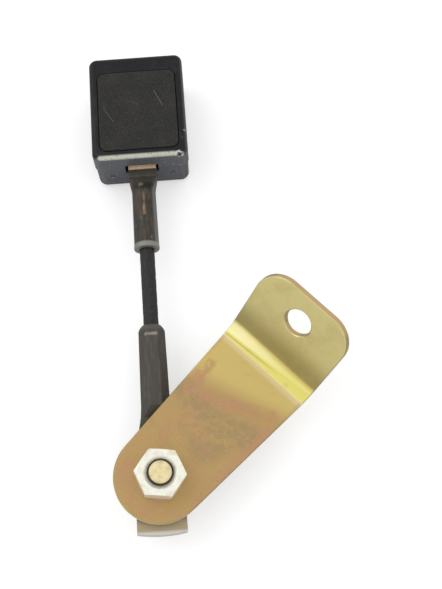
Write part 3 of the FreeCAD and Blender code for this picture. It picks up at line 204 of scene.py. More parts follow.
def strand_surface(start, stop, rope, rows=220, columns=144):
    """Rope between two places along the stalk, closed by a flat disc at each end.

    The radius is the outer radius less the groove times (1 - |cos|) of half the strand angle,
    where the strand angle is the number of strands times the angle round the rope less the
    turn that the lay has made by that place along it.
    """
    along = np.linspace(start, stop, rows)[:, None]
    angle = np.linspace(0.0, 2 * math.pi, columns, endpoint=False)[None, :]
    turn = 2 * math.pi * along / rope.lay
    lobe = np.abs(np.cos(rope.strands * (angle - turn) / 2))
    radius = rope.radius - rope.groove * (1 - lobe) ** 2
    ring = np.stack([ROPE_X + radius * np.cos(angle),
                     along + 0 * angle,
                     ROPE_Z - radius * np.sin(angle)], axis=-1)
    middle = np.array([ROPE_X, 0.0, ROPE_Z])
    ends = [middle + [0, start, 0], middle + [0, stop, 0]]
    points = np.concatenate([ring.reshape(-1, 3), ends])
    faces = [list(face) for face in grid_faces(rows, columns, True)]
    first, last = rows * columns, rows * columns + 1
    for column in range(columns):
        after = (column + 1) % columns
        faces.append([first, after, column])
        base = (rows - 1) * columns
        faces.append([last, base + column, base + after])
    return points, faces


def thread_surface(thread, top, core, rows=6):
    """Thread turns round the bolt's end, leant with the bolt.

    The angle goes round once for each pitch downwards. Across a turn the profile rises from
    the core to the crest and falls back, a triangle wave of the distance along the bolt.
    """
    turns = thread.reach / thread.pitch
    steps = int(turns * 72)
    angle = np.linspace(0.0, 2 * math.pi * turns, steps)[:, None]
    across = np.linspace(0.0, 1.0, rows)[None, :]
    fade = np.clip(np.minimum(angle, angle[-1] - angle) / 1.2, 0.0, 1.0)
    rise = thread.depth * (1 - np.abs(2 * across - 1)) * fade
    radius = core + rise - 0.03 * MM
    height = top - angle / (2 * math.pi) * thread.pitch - (across - 0.5) * thread.pitch * 0.92
    local = np.stack([radius * np.cos(angle), radius * np.sin(angle), height + 0 * angle], -1)
    return lean_out(local), grid_faces(steps, rows, False)


def lean_out(local):
    """Points about the bolt's own axis, put where the leant bolt stands."""
    up = np.array(LEAN_AXIS)
    side = np.array([up[2], 0.0, -up[0]])
    fore = np.array([0.0, 1.0, 0.0])
    return (np.array(PIVOT) + local[..., :1] * side + local[..., 1:2] * fore
            + local[..., 2:] * up)


# Node trees


class Finish:
    """One material's node tree, built a node at a time on Object coordinates."""

    def __init__(self, name):
        self.material = bpy.data.materials.new(name)
        self.material.use_nodes = True
        self.tree = self.material.node_tree
        self.shader = self.tree.nodes["Principled BSDF"]
        self.place = self.add("ShaderNodeTexCoord").outputs["Object"]

    def add(self, kind, inputs=None, **options):
        """Add a node, set its options and feed its inputs."""
        node = self.tree.nodes.new(kind)
        for key, option in options.items():
            setattr(node, key, option)
        for key, value in (inputs or {}).items():
            self.feed(node.inputs[key], value)
        return node

    def feed(self, socket, value):
        """Link a socket to another, or write a plain value on it."""
        if isinstance(value, bpy.types.NodeSocket):
            self.tree.links.new(value, socket)
        elif socket.type == "RGBA":
            socket.default_value = (*value[:3], 1.0)
        else:
            socket.default_value = value

    def stretched(self, scale):
        """Object coordinates with each axis multiplied by its own factor."""
        return self.add("ShaderNodeMapping", {"Vector": self.place, "Scale": scale}).outputs[0]

    def noise(self, size, detail=3.0, rough=0.55, stretch=None, distort=0.0):
        """Soft noise whose patches are about the given size in millimetres."""
        place = self.stretched(stretch) if stretch else self.place
        return self.add("ShaderNodeTexNoise", {
            "Vector": place, "Scale": 1000.0 / size, "Detail": detail,
            "Roughness": rough, "Distortion": distort}).outputs["Fac"]

    def math(self, operation, first, second=0.0):
        """One step of arithmetic."""
        return self.add("ShaderNodeMath", {0: first, 1: second},
                        operation=operation).outputs[0]

    def band(self, value, low, high):
        """Smooth step from 0 at low to 1 at high; low may be above high."""
        return self.add("ShaderNodeMapRange", {
            "Value": value, "From Min": low, "From Max": high},
            interpolation_type="SMOOTHSTEP").outputs["Result"]

    def mix(self, factor, first, second, blend="MIX"):
        """Blend two colours."""
        node = self.add("ShaderNodeMix", data_type="RGBA", blend_type=blend)
        self.feed(node.inputs[0], factor)
        self.feed(node.inputs[6], first)
        self.feed(node.inputs[7], second)
        return node.outputs[2]

    def blend(self, factor, first, second):
        """Blend two numbers."""
        node = self.add("ShaderNodeMix", data_type="FLOAT")
        self.feed(node.inputs[0], factor)
        self.feed(node.inputs[2], first)
        self.feed(node.inputs[3], second)
        return node.outputs[0]

    def both(self, first, second):
        """Two masks multiplied, or a mask at part strength."""
        return self.math("MULTIPLY", first, second)

    def either(self, first, second):
        """The larger of two masks."""
        return self.math("MAXIMUM", first, second)

    def other(self, mask):
        """1 where a mask is 0, and 0 where it is 1."""
        return self.math("SUBTRACT", 1.0, mask)

    def lay(self, base, mask, strength, tint):
        """Lay a colour over the base at part strength where a mask is 1."""
        return self.mix(self.both(mask, strength), base, tint)

    def distance(self, centre, direction=None):
        """Distance in metres from a centre, or how far along a direction from it."""
        offset = self.add("ShaderNodeVectorMath", {0: self.place, 1: centre},
                          operation="SUBTRACT").outputs[0]
        if direction is None:
            return self.add("ShaderNodeVectorMath", {0: offset},
                            operation="LENGTH").outputs["Value"]
        return self.add("ShaderNodeVectorMath", {0: offset, 1: direction},
                        operation="DOT_PRODUCT").outputs["Value"]

    def spot(self, centre, radius, soft=0.5):
        """1 inside a ball about a centre and 0 outside it, with a soft rim."""
        return self.band(self.distance(centre), radius, radius * (1 - soft))

    def stroke(self, start, stop, width):
        """1 near the straight line between two places, for a scratch, a stain, a worn ridge or a
        painted highlight.
        """
        start, stop = np.array(start), np.array(stop)
        run = float(np.linalg.norm(stop - start))
        way = tuple((stop - start) / run)
        travel = self.distance(tuple(start), way)
        held = self.add("ShaderNodeClamp", {"Value": travel, "Min": 0.0, "Max": run}).outputs[0]
        foot = self.add("ShaderNodeVectorMath", {0: way, "Scale": held},
                        operation="SCALE").outputs[0]
        foot = self.add("ShaderNodeVectorMath", {0: foot, 1: tuple(start)},
                        operation="ADD").outputs[0]
        gap = self.add("ShaderNodeVectorMath", {0: self.place, 1: foot},
                       operation="DISTANCE").outputs["Value"]
        return self.band(gap, width, width * 0.3)

    def edges(self, radius, low=0.02, high=0.25):
        """1 along sharp edges: where a rounded normal leaves the true one."""
        rounded = self.add("ShaderNodeBevel", {"Radius": radius}, samples=6).outputs[0]
        true = self.add("ShaderNodeNewGeometry").outputs["True Normal"]
        match = self.add("ShaderNodeVectorMath", {0: rounded, 1: true},
                         operation="DOT_PRODUCT").outputs["Value"]
        return self.band(self.math("SUBTRACT", 1.0, match), low, high)

    def facing(self, direction):
        """How much the surface faces a direction of the row frame."""
        normal = self.add("ShaderNodeNewGeometry").outputs["True Normal"]
        return self.add("ShaderNodeVectorMath", {0: normal, 1: direction},
                        operation="DOT_PRODUCT").outputs["Value"]

    def relief(self, height, strength, depth, radius=0.15 * MM):
        """Bump on a normal whose sharp edges are rounded a little."""
        soft = self.add("ShaderNodeBevel", {"Radius": radius}, samples=4).outputs[0]
        bump = self.add("ShaderNodeBump", {"Strength": strength, "Distance": depth,
                                           "Height": height, "Normal": soft})
        self.feed(self.shader.inputs["Normal"], bump.outputs[0])

    def finish(self, base, rough, metal=0.0, **constants):
        """Feed the shader's main sockets and write its constants."""
        self.feed(self.shader.inputs["Base Color"], base)
        self.feed(self.shader.inputs["Roughness"], rough)
        self.feed(self.shader.inputs["Metallic"], metal)
        for key, value in constants.items():
            self.shader.inputs[key.replace("_", " ")].default_value = value
        return self.material


PLATE_TOP = 8.9
BOLT_END = 19.2 * MM
THREAD_TOP = 17.9 * MM
THREAD_CORE = 4.9 * MM
HEADING = math.radians(43.0)
TAB_ANGLE = math.radians(58.5)
UP = np.array(LEAN_AXIS)
ACROSS = np.array([UP[2], 0.0, -UP[0]])
ALONG = np.array([0.0, 1.0, 0.0])
SHANK_WAY = math.cos(HEADING) * ACROSS + math.sin(HEADING) * ALONG
SHANK_SIDE = math.sin(HEADING) * ACROSS - math.cos(HEADING) * ALONG
TAB_WAY = math.cos(TAB_ANGLE) * SHANK_WAY + math.sin(TAB_ANGLE) * UP


def on_plate(run, side):
    """A place on the shank's upper face, in millimetres along it and across it."""
    place = np.array(PIVOT) + (run * SHANK_WAY + side * SHANK_SIDE + PLATE_TOP * UP) * MM
    return tuple(place)


ROSE_STAINS = (((35.0, -9.0), (47.5, 16.0), 3.6), ((46.5, -17.5), (33.0, -15.5), 4.2),
               ((41.0, 18.2), (3.0, 18.0), 3.4), ((17.0, -12.0), (10.5, -9.0), 3.2),
               ((-6.5, -12.0), (-10.5, -3.0), 5.5), ((-8.0, 4.0), (-13.0, 5.0), 5.0))
MOSS_STAINS = (((31.0, -16.0), (30.0, -4.0), 8.0), ((30.0, 1.0), (34.0, 14.0), 8.5),
               ((29.0, 8.0), (21.0, 4.0), 10.0), ((24.0, -5.0), (20.0, 6.0), 8.0))


def stained(tree, stains):
    """1 along any of the stains, each two places on the plate and a width in millimetres."""
    mask = 0.0
    for start, stop, width in stains:
        mask = tree.either(mask, tree.stroke(on_plate(*start), on_plate(*stop), width * MM))
    return mask


def bracket_finish(colours):
    """Yellow zinc: speckled gold with rose and moss stains, smoother by the bend, with painted
    highlights there, a painted dark line across the bend and painted light and shade on the plate's
    edge faces.
    """
    tree = Finish("yellow_zinc_worn")
    run = tree.distance(tuple(PIVOT), tuple(SHANK_WAY))
    side = tree.distance(tuple(PIVOT), tuple(SHANK_SIDE))
    speckle = tree.noise(0.55, 4.0, 0.7)
    patch = tree.noise(13.0, 5.0, 0.65, distort=0.8)
    cloud = tree.noise(5.0, 5.0, 0.7, distort=0.4)
    shank = tree.band(run, 0.0600, 0.0580)
    moss = tree.both(stained(tree, MOSS_STAINS), tree.band(cloud, 0.34, 0.58))
    moss = tree.either(moss, tree.both(tree.band(patch, 0.56, 0.74), 0.45))
    rose = tree.both(stained(tree, ROSE_STAINS), tree.band(cloud, 0.64, 0.42))
    rose = tree.either(rose, tree.both(tree.band(patch, 0.46, 0.30), 0.45))
    base = tree.mix(tree.both(moss, 0.85), colours.gold, colours.moss)
    base = tree.lay(base, rose, 0.80, colours.rose)
    # Painted highlight: pale zinc over the shank just before the bend, where the rising plate
    # catches the light; the same mask also makes the zinc smoother there.
    slanted = tree.math("ADD", run, tree.math("MULTIPLY", side, -0.30))
    smooth = tree.band(slanted, 0.0400, 0.0500)
    past = tree.band(run, 0.0650, 0.0662)
    bright = tree.both(smooth, tree.other(past))
    bright = tree.both(bright, tree.blend(rose, 1.0, 0.2))
    base = tree.lay(base, bright, 0.88, colours.pale)
    tab = tree.mix(tree.band(run, 0.0672, 0.0735), (0.40, 0.345, 0.14), (0.68, 0.60, 0.27))
    tab = tree.lay(tab, tree.band(patch, 0.45, 0.65), 0.4, (0.53, 0.44, 0.19))
    base = tree.lay(base, past, 0.92, tab)
    # Two painted highlight bands across the bend, the second broader on one side.
    first = tree.both(tree.band(run, 0.0563, 0.0583), tree.band(run, 0.0604, 0.0590))
    base = tree.lay(base, first, 0.85, (1.0, 0.92, 0.46))
    offset = tree.math("ADD", run, tree.math("MULTIPLY", side, -0.06))
    broad = tree.blend(tree.band(side, 0.014, -0.014), 0.30, 0.90)
    second = tree.both(tree.band(offset, 0.0618, 0.0630), tree.band(run, 0.0660, 0.0648))
    base = tree.lay(base, second, broad, (0.98, 0.90, 0.46))
    # Painted shade: a thin dark line across the bend between the two painted highlights.
    crease_shade = tree.band(tree.math("ABSOLUTE", tree.math("SUBTRACT", offset, 0.0614)),
                       0.0005, 0.0001)
    crease_shade = tree.both(crease_shade, tree.band(side, 0.008, -0.004))
    base = tree.lay(base, crease_shade, 0.55, (0.42, 0.34, 0.12))
    rim = tree.both(shank, tree.band(tree.math("ABSOLUTE", side), 0.0192, 0.0207))
    base = tree.lay(base, rim, 0.35, (0.36, 0.22, 0.12))
    fleck = tree.both(tree.other(smooth), tree.band(speckle, 0.42, 0.66))
    base = tree.lay(base, fleck, 0.28, (0.68, 0.56, 0.28))
    grit = tree.both(tree.other(smooth), tree.band(speckle, 0.40, 0.28))
    base = tree.lay(base, grit, 0.5, (0.25, 0.20, 0.09))
    worn = tree.edges(0.35 * MM)
    base = tree.lay(base, worn, 0.6, (0.80, 0.74, 0.50))
    # Painted shade: the plate's side faces darker.
    painted_side_shading = tree.band(tree.math("ABSOLUTE", tree.facing(tuple(SHANK_SIDE))), 0.5, 0.7)
    tip = tree.band(tree.facing(tuple(TAB_WAY)), 0.75, 0.9)
    base = tree.lay(base, painted_side_shading, 0.6, (0.24, 0.15, 0.09))
    base = tree.lay(base, tip, 0.7, (0.50, 0.29, 0.16))
    # Painted highlight: the edge face of the plate's round end lighter.
    low_end = tree.band(run, 0.002, -0.004)
    round_end_highlight = tree.both(low_end, tree.band(tree.facing(tuple(UP)), 0.5, 0.3))
    base = tree.lay(base, round_end_highlight, 0.8, (0.76, 0.72, 0.58))
    rough = tree.blend(smooth, 0.50, 0.32)
    grain = tree.both(speckle, tree.blend(smooth, 1.0, 0.12))
    tree.relief(grain, 0.35, 0.00018, 0.25 * MM)
    return tree.finish(base, rough, 0.60, Specular_IOR_Level=0.2)


def nut_finish(colours):
    """Silver zinc with faint stains and worn corners."""
    tree = Finish("nut_zinc_worn")
    stain = tree.noise(3.0, 5.0, 0.65, distort=0.5)
    dust = tree.noise(0.35, 3.0, 0.6)
    base = tree.mix(tree.band(stain, 0.45, 0.75), colours.silver, (0.72, 0.69, 0.54))
    base = tree.lay(base, tree.edges(0.3 * MM), 0.8, (0.96, 0.96, 0.92))
    tree.relief(dust, 0.2, 0.00012, 0.25 * MM)
    return tree.finish(base, tree.blend(stain, 0.28, 0.48), 0.60)


def bolt_finish(colours):
    """Pale gold zinc, with painted shade where the thread goes down into the nut."""
    tree = Finish("bolt_zinc_worn")
    stain = tree.noise(2.2, 4.0, 0.6)
    up = tree.distance(tuple(PIVOT), tuple(LEAN_AXIS))
    radius = tree.distance(tuple(np.array(PIVOT) + np.array(LEAN_AXIS) * BOLT_END))
    base = tree.mix(tree.band(stain, 0.4, 0.8), colours.straw, (0.55, 0.45, 0.25))
    # Painted shade: a dark ring in the thread's valleys round the bolt's end, where it goes down
    # into the nut.
    ring = tree.both(tree.band(radius, 0.0041, 0.0046), tree.band(up, 0.010, 0.0125))
    base = tree.mix(ring, base, (0.035, 0.030, 0.025))
    tree.relief(tree.noise(0.5, 3.0), 0.25, 0.00015, 0.2 * MM)
    return tree.finish(base, tree.blend(stain, 0.30, 0.50), 0.60)


def terminal_finish(colours):
    """Dark oxide with brown wear on the facets, painted reflections on the side facets, painted
    highlights on the shoulder and bright metal at the eye's cut edge.
    """
    tree = Finish("terminal_oxide")
    streak = tree.noise(5.0, 5.0, 0.65, stretch=(3.0, 0.55, 3.0), distort=0.4)
    pit = tree.noise(0.6, 4.0, 0.7)
    along = tree.distance(tuple(PIVOT), (0.0, 1.0, 0.0))
    base = tree.mix(tree.band(streak, 0.42, 0.72), colours.oxide, colours.bronze)
    # Painted reflection: the side facets lighter grey.
    painted_side_shading = tree.band(tree.math("ABSOLUTE", tree.facing((1.0, 0.0, 0.0))), 0.80, 0.95)
    base = tree.lay(base, painted_side_shading, 0.6, (0.17, 0.168, 0.165))
    # Painted highlight: the domed shoulder at the top of the tube lighter.
    shoulder_highlight = tree.band(along, 0.0600, 0.0625)
    base = tree.lay(base, shoulder_highlight, 0.35, (0.20, 0.17, 0.13))
    # Painted highlight: a short bright arc at the top of the central facet.
    arc_highlight = tree.stroke((ROPE_X - 0.0020, PIVOT[1] + 0.0588, ROPE_Z + 0.0048),
                      (ROPE_X + 0.0020, PIVOT[1] + 0.0588, ROPE_Z + 0.0048), 0.0011)
    base = tree.lay(base, arc_highlight, 0.5, (0.46, 0.43, 0.35))
    base = tree.lay(base, tree.edges(0.5 * MM, 0.02, 0.3), 0.35, (0.30, 0.28, 0.25))
    chips = tree.both(tree.band(pit, 0.66, 0.72), tree.band(streak, 0.5, 0.6))
    base = tree.mix(chips, base, (0.48, 0.45, 0.40))
    eye = tree.band(along, -0.012, -0.0175)
    base = tree.lay(base, eye, 0.9, (0.46, 0.37, 0.22))
    bare = tree.band(along, -0.0195, -0.0208)
    base = tree.lay(base, bare, 0.9, (0.66, 0.64, 0.57))
    tree.relief(tree.math("ADD", pit, tree.math("MULTIPLY", streak, 0.6)), 0.35, 0.00018,
                0.5 * MM)
    return tree.finish(base, tree.blend(streak, 0.32, 0.52), 0.50)


def ferrule_finish(colours):
    """Dark oxide sleeve with bronze and copper streaks, painted reflections on its sides, rim and a
    small facet, and a rusty strap in the slot.
    """
    tree = Finish("ferrule_oxide")
    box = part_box("upper_ferrule")
    streak = tree.noise(4.0, 5.0, 0.7, stretch=(2.6, 0.5, 2.6), distort=0.6)
    fleck = tree.noise(1.3, 5.0, 0.75)
    along = tree.distance((ROPE_X, box[0].y, ROPE_Z), (0.0, 1.0, 0.0))
    base = tree.mix(tree.band(streak, 0.40, 0.70), (0.034, 0.032, 0.027), (0.080, 0.063, 0.043))
    line = tree.stroke((ROPE_X, box[0].y + 0.0149, ROPE_Z + 0.0052),
                       (ROPE_X + 0.0003, box[0].y + 0.0244, ROPE_Z + 0.0052), 0.0010)
    drawn = tree.noise(1.4, 4.0, 0.6, stretch=(3.0, 0.12, 3.0))
    rust = tree.both(line, tree.band(drawn, 0.42, 0.58))
    base = tree.lay(base, rust, 0.7, (0.50, 0.28, 0.14))
    # Painted reflections: the sleeve's right and left sides lighter grey.
    right = tree.band(tree.facing((1.0, 0.0, 0.0)), 0.66, 0.84)
    base = tree.lay(base, right, 0.75, (0.21, 0.207, 0.20))
    left = tree.band(tree.facing((-1.0, 0.0, 0.0)), 0.90, 0.98)
    base = tree.lay(base, left, 0.6, (0.19, 0.19, 0.19))
    chips = tree.both(tree.band(fleck, 0.62, 0.68), tree.band(streak, 0.50, 0.60))
    base = tree.mix(chips, base, (0.50, 0.47, 0.42))
    # Painted highlight: a small light facet on the sleeve.
    facet_highlight = tree.spot((ROPE_X - 0.0010, box[0].y + 0.0292, ROPE_Z + 0.0048), 0.0016)
    base = tree.lay(base, facet_highlight, 0.35, (0.50, 0.47, 0.36))
    # Painted highlight: the rolled rim at the sleeve's lower end lighter.
    rim = tree.band(along, 0.0026, 0.0018)
    base = tree.lay(base, rim, 0.55, (0.38, 0.38, 0.34))
    base = tree.lay(base, tree.edges(0.4 * MM), 0.4, (0.32, 0.28, 0.22))
    pressed = tree.band(along, 0.0285, 0.0315)
    base = tree.lay(base, pressed, 0.7, (0.110, 0.101, 0.083))
    strap = tree.band(along, 0.0364, 0.0370)
    rusty = tree.mix(tree.band(fleck, 0.35, 0.7), colours.copper, (0.98, 0.78, 0.56))
    base = tree.mix(strap, base, rusty)
    metal = tree.blend(strap, 0.50, 0.10)
    tree.relief(tree.math("ADD", fleck, streak), 0.35, 0.0002, 0.4 * MM)
    return tree.finish(base, tree.blend(streak, 0.30, 0.55), metal)


def rope_finish(colours):
    """Black coat, a little brown where dust sits between the strands."""
    tree = Finish("rope_coat_worn")
    dust = tree.noise(1.6, 4.0, 0.65)
    base = tree.mix(tree.band(dust, 0.45, 0.75), colours.coat, (0.032, 0.027, 0.024))
    tree.relief(tree.noise(0.4, 4.0, 0.7), 0.4, 0.00012, 0.1 * MM)
    return tree.finish(base, tree.blend(dust, 0.40, 0.60), 0.0, Specular_IOR_Level=0.35)


def housing_finish(colours):
    """Smooth black shell, rubbed pale along its front edge where a painted highlight lies too,
    painted light on its end face and right side, with chips and light dots.
    """
    tree = Finish("housing_black")
    low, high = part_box("front_cover")
    smear = tree.noise(9.0, 4.0, 0.6)
    dust = tree.noise(0.8, 4.0, 0.7)
    chip = tree.noise(1.1, 3.0, 0.6)
    front = tree.distance((ROPE_X, low.y, ROPE_Z), (0.0, 1.0, 0.0))
    # Painted light: the end face a lighter bluish grey than the rest of the shell.
    face = tree.band(front, 0.0016, 0.0006)
    base = tree.mix(tree.both(face, 0.8), colours.shell, (0.122, 0.125, 0.140))
    base = tree.lay(base, tree.band(smear, 0.5, 0.8), 0.5, (0.040, 0.038, 0.036))
    # Worn and painted highlight: a pale scuffed line along the front edge, broken by chips.
    ridge = tree.stroke((low.x + 0.0035, low.y + 0.0006, high.z - 0.0006),
                        (high.x - 0.0055, low.y + 0.0006, high.z - 0.0006), 0.0016)
    ridge = tree.both(ridge, tree.band(chip, 0.22, 0.45))
    base = tree.mix(ridge, base, colours.scuff_and_highlight)
    for across, drop, size in ((7.2, 5.7, 0.35), (6.9, 18.2, 0.75), (30.6, 6.8, 0.4),
                               (35.0, 16.4, 0.8), (34.3, 8.8, 0.55), (37.2, 10.0, 0.6)):
        dot = tree.spot((low.x + across * MM, low.y, high.z - drop * MM), size * MM, 0.7)
        base = tree.lay(base, dot, 0.65, (0.42, 0.43, 0.40))
    near = tree.distance((low.x + 37.2 * MM, low.y + 0.4 * MM, high.z - 1.1 * MM))
    ring = tree.both(tree.band(near, 0.0021, 0.0015), tree.band(near, 0.0007, 0.0011))
    ring = tree.both(ring, tree.band(chip, 0.40, 0.55))
    base = tree.mix(ring, base, (0.62, 0.62, 0.56))
    core = tree.band(near, 0.0011, 0.0007)
    base = tree.mix(core, base, (0.045, 0.045, 0.048))
    for across, away in ((39.9, 11.5), (38.7, 7.5)):
        dot = tree.spot((low.x + across * MM, low.y + away * MM, high.z - 1.0 * MM), 1.2 * MM, 0.8)
        dot = tree.both(dot, tree.band(chip, 0.45, 0.60))
        base = tree.mix(dot, base, (0.50, 0.49, 0.42))
    # Painted reflection: the side facing +X lighter.
    painted_side_shading = tree.both(tree.band(tree.facing((1.0, 0.0, 0.0)), 0.45, 0.75), 0.7)
    base = tree.mix(painted_side_shading, base, (0.075, 0.066, 0.058))
    tree.relief(dust, 0.10, 0.00010, 0.3 * MM)
    rough = tree.blend(tree.band(smear, 0.4, 0.8), 0.24, 0.38)
    rough = tree.either(rough, tree.both(ridge, 0.6))
    return tree.finish(base, rough, 0.0, Specular_IOR_Level=0.26)


def button_finish(colours):
    """Fine-grained black plastic with light scratches, rubbed pale at its near edge, where a
    painted highlight lies too.
    """
    tree = Finish("button_grain")
    low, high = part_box("release_button")
    grain = tree.noise(0.5, 4.0, 0.75)
    smear = tree.noise(8.0, 3.0, 0.6)
    hair = tree.noise(0.35, 2.0, 0.6, stretch=(1.0, 0.10, 1.0))
    base = tree.mix(tree.band(grain, 0.45, 0.70), colours.panel, (0.048, 0.046, 0.040))
    base = tree.lay(base, tree.band(smear, 0.45, 0.8), 0.4, (0.045, 0.042, 0.036))
    for start, stop, width, tone in (((24.3, 29.0), (27.8, 21.2), 0.13, 0.55),
                                     ((2.3, 21.8), (6.2, 14.9), 0.12, 0.45),
                                     ((12.3, 25.0), (17.8, 22.1), 0.12, 0.20)):
        scratch = tree.stroke((low.x + start[0] * MM, low.y + start[1] * MM, high.z),
                              (low.x + stop[0] * MM, low.y + stop[1] * MM, high.z), width * MM)
        base = tree.lay(base, scratch, tone, (0.26, 0.26, 0.23))
    # Worn and painted highlight: edges near the front lighter.
    rub_and_highlight = tree.edges(0.35 * MM, 0.03, 0.3)
    near = tree.distance((0.0, low.y, 0.0), (0.0, 1.0, 0.0))
    rub_and_highlight = tree.both(rub_and_highlight, tree.band(near, 0.010, 0.002))
    base = tree.lay(base, rub_and_highlight, 0.6, (0.38, 0.38, 0.33))
    tree.relief(tree.math("ADD", grain, tree.math("MULTIPLY", hair, 0.3)), 0.45, 0.00016,
                0.25 * MM)
    return tree.finish(base, tree.blend(grain, 0.50, 0.72), 0.0, Specular_IOR_Level=0.22)


def steel_finish(name, base_colour, rough):
    """Plain steel with fine brush lines and soft stains."""
    tree = Finish(name)
    stain = tree.noise(4.0, 4.0, 0.6)
    brush = tree.noise(0.5, 3.0, 0.6, stretch=(4.0, 0.3, 1.0))
    darker = tuple(0.6 * part for part in base_colour)
    base = tree.mix(tree.band(stain, 0.4, 0.8), base_colour, darker)
    tree.relief(brush, 0.25, 0.00008, 0.2 * MM)
    return tree.finish(base, tree.blend(stain, rough, rough + 0.15), 0.9)


def nylon_finish(name, base_colour):
    """Matt moulded plastic with a faint flow pattern."""
    tree = Finish(name)
    flow = tree.noise(3.0, 3.0, 0.55, stretch=(1.0, 0.4, 1.0))
    darker = tuple(0.75 * part for part in base_colour)
    base = tree.mix(tree.band(flow, 0.4, 0.7), base_colour, darker)
    tree.relief(tree.noise(0.4, 3.0), 0.2, 0.00008, 0.2 * MM)
    return tree.finish(base, tree.blend(flow, 0.45, 0.6), 0.0)


def dress(material, *names):
    """Give CAD nodes their material in every slot they have."""
    for name in names:
        for holder in NODES[name].material_slots:
            holder.material = material


# Operators, one for each group of pieces


class BELT_OT_rope(bpy.types.Operator):
    """Replace the plain rope by two stranded lengths that meet midway between its two bends"""

    bl_idname = "belt.rope"
    bl_label = "Wire Rope"

    def execute(self, context):
        rope = settings().rope
        low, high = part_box("wire_rope")
        middle = (LOW_BEND + HIGH_BEND) / 2
        coat = rope_finish(settings().colours)
        lengths = (("rope_low", low.y, middle + 0.01 * MM, "stalk", "rope", LOW_BEND),
                   ("rope_high", middle - 0.01 * MM, high.y, "rope", "buckle", HIGH_BEND))
        for name, start, stop, first, second, bend in lengths:
            piece = make_piece(name, *strand_surface(start, stop, rope))
            piece.data.materials.append(coat)
            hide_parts("wire_rope")
            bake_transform(piece)
        dress(coat, "wire_rope")
        return {"FINISHED"}


class BELT_OT_pivot(bpy.types.Operator):
    """Finish the pivot bolt, its nut and washers, and wind the thread in the nut"""

    bl_idname = "belt.pivot"
    bl_label = "Pivot Bolt, Nut and Washers"

    def execute(self, context):
        colours = settings().colours
        bolt = bolt_finish(colours)
        points, faces = thread_surface(settings().thread, THREAD_TOP, THREAD_CORE)
        piece = make_piece("bolt_thread", points, faces)
        piece.data.materials.append(bolt)
        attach(piece, "bracket")
        dress(bolt, "pivot_bolt")
        dress(nut_finish(colours), "pivot_nut")
        dress(steel_finish("washer_steel_plain", (0.40, 0.39, 0.36), 0.35),
              "wave_washer", "spacer_washer")
        dress(nylon_finish("friction_nylon", (0.55, 0.52, 0.42)), "friction_washer")
        return {"FINISHED"}


class BELT_OT_bracket(bpy.types.Operator):
    """Give the bracket its yellow zinc"""

    bl_idname = "belt.bracket"
    bl_label = "Bracket Plate"

    def execute(self, context):
        dress(bracket_finish(settings().colours), "bracket_plate")
        return {"FINISHED"}


class BELT_OT_sleeves(bpy.types.Operator):
    """Give the crimped terminal and the upper ferrule their dark oxide"""

    bl_idname = "belt.sleeves"
    bl_label = "Terminal and Ferrule"

    def execute(self, context):
        colours = settings().colours
        dress(terminal_finish(colours), "lower_terminal")
        dress(ferrule_finish(colours), "upper_ferrule")
        return {"FINISHED"}


class BELT_OT_housing(bpy.types.Operator):
    """Give the two covers and the release button their black plastics"""

    bl_idname = "belt.housing"
    bl_label = "Covers and Button"

    def execute(self, context):
        colours = settings().colours
        dress(housing_finish(colours), "front_cover", "rear_cover")
        dress(button_finish(colours), "release_button")
        return {"FINISHED"}


class BELT_OT_mechanism(bpy.types.Operator):
    """Give the frame, latch, ejector and springs inside the housing their finishes"""

    bl_idname = "belt.mechanism"
    bl_label = "Frame, Latch and Springs"

    def execute(self, context):
        colours = settings().colours
        dress(steel_finish("frame_zinc_steel", tuple(colours.steel), 0.32), "buckle_frame",
              "strap_rivet", "latch_plate", "latch_pin", "frame_screws")
        dress(steel_finish("spring_wire_steel", (0.45, 0.45, 0.45), 0.25), "button_springs",
              "latch_spring", "ejector_spring")
        dress(nylon_finish("ejector_acetal", (0.060, 0.060, 0.062)), "ejector_slider")
        return {"FINISHED"}


def floor_finish():
    """White paper that keeps the object's shadow, lifted to white for the camera."""
    tree = Finish("floor_paper")
    nodes = tree.tree.nodes
    fibre = tree.noise(2.0, 3.0)
    base = tree.mix(tree.band(fibre, 0.3, 0.7), (0.64, 0.64, 0.64), (0.65, 0.65, 0.648))
    diffuse = tree.add("ShaderNodeBsdfDiffuse", {"Color": base})
    seen = tree.add("ShaderNodeLightPath").outputs["Is Camera Ray"]
    glow = tree.add("ShaderNodeEmission", {"Color": (1.0, 1.0, 1.0),
                                           "Strength": tree.math("MULTIPLY", seen, 0.46)})
    both = tree.add("ShaderNodeAddShader", {0: diffuse.outputs[0], 1: glow.outputs[0]})
    nodes.remove(tree.shader)
    tree.tree.links.new(both.outputs[0], nodes["Material Output"].inputs["Surface"])
    return tree.material


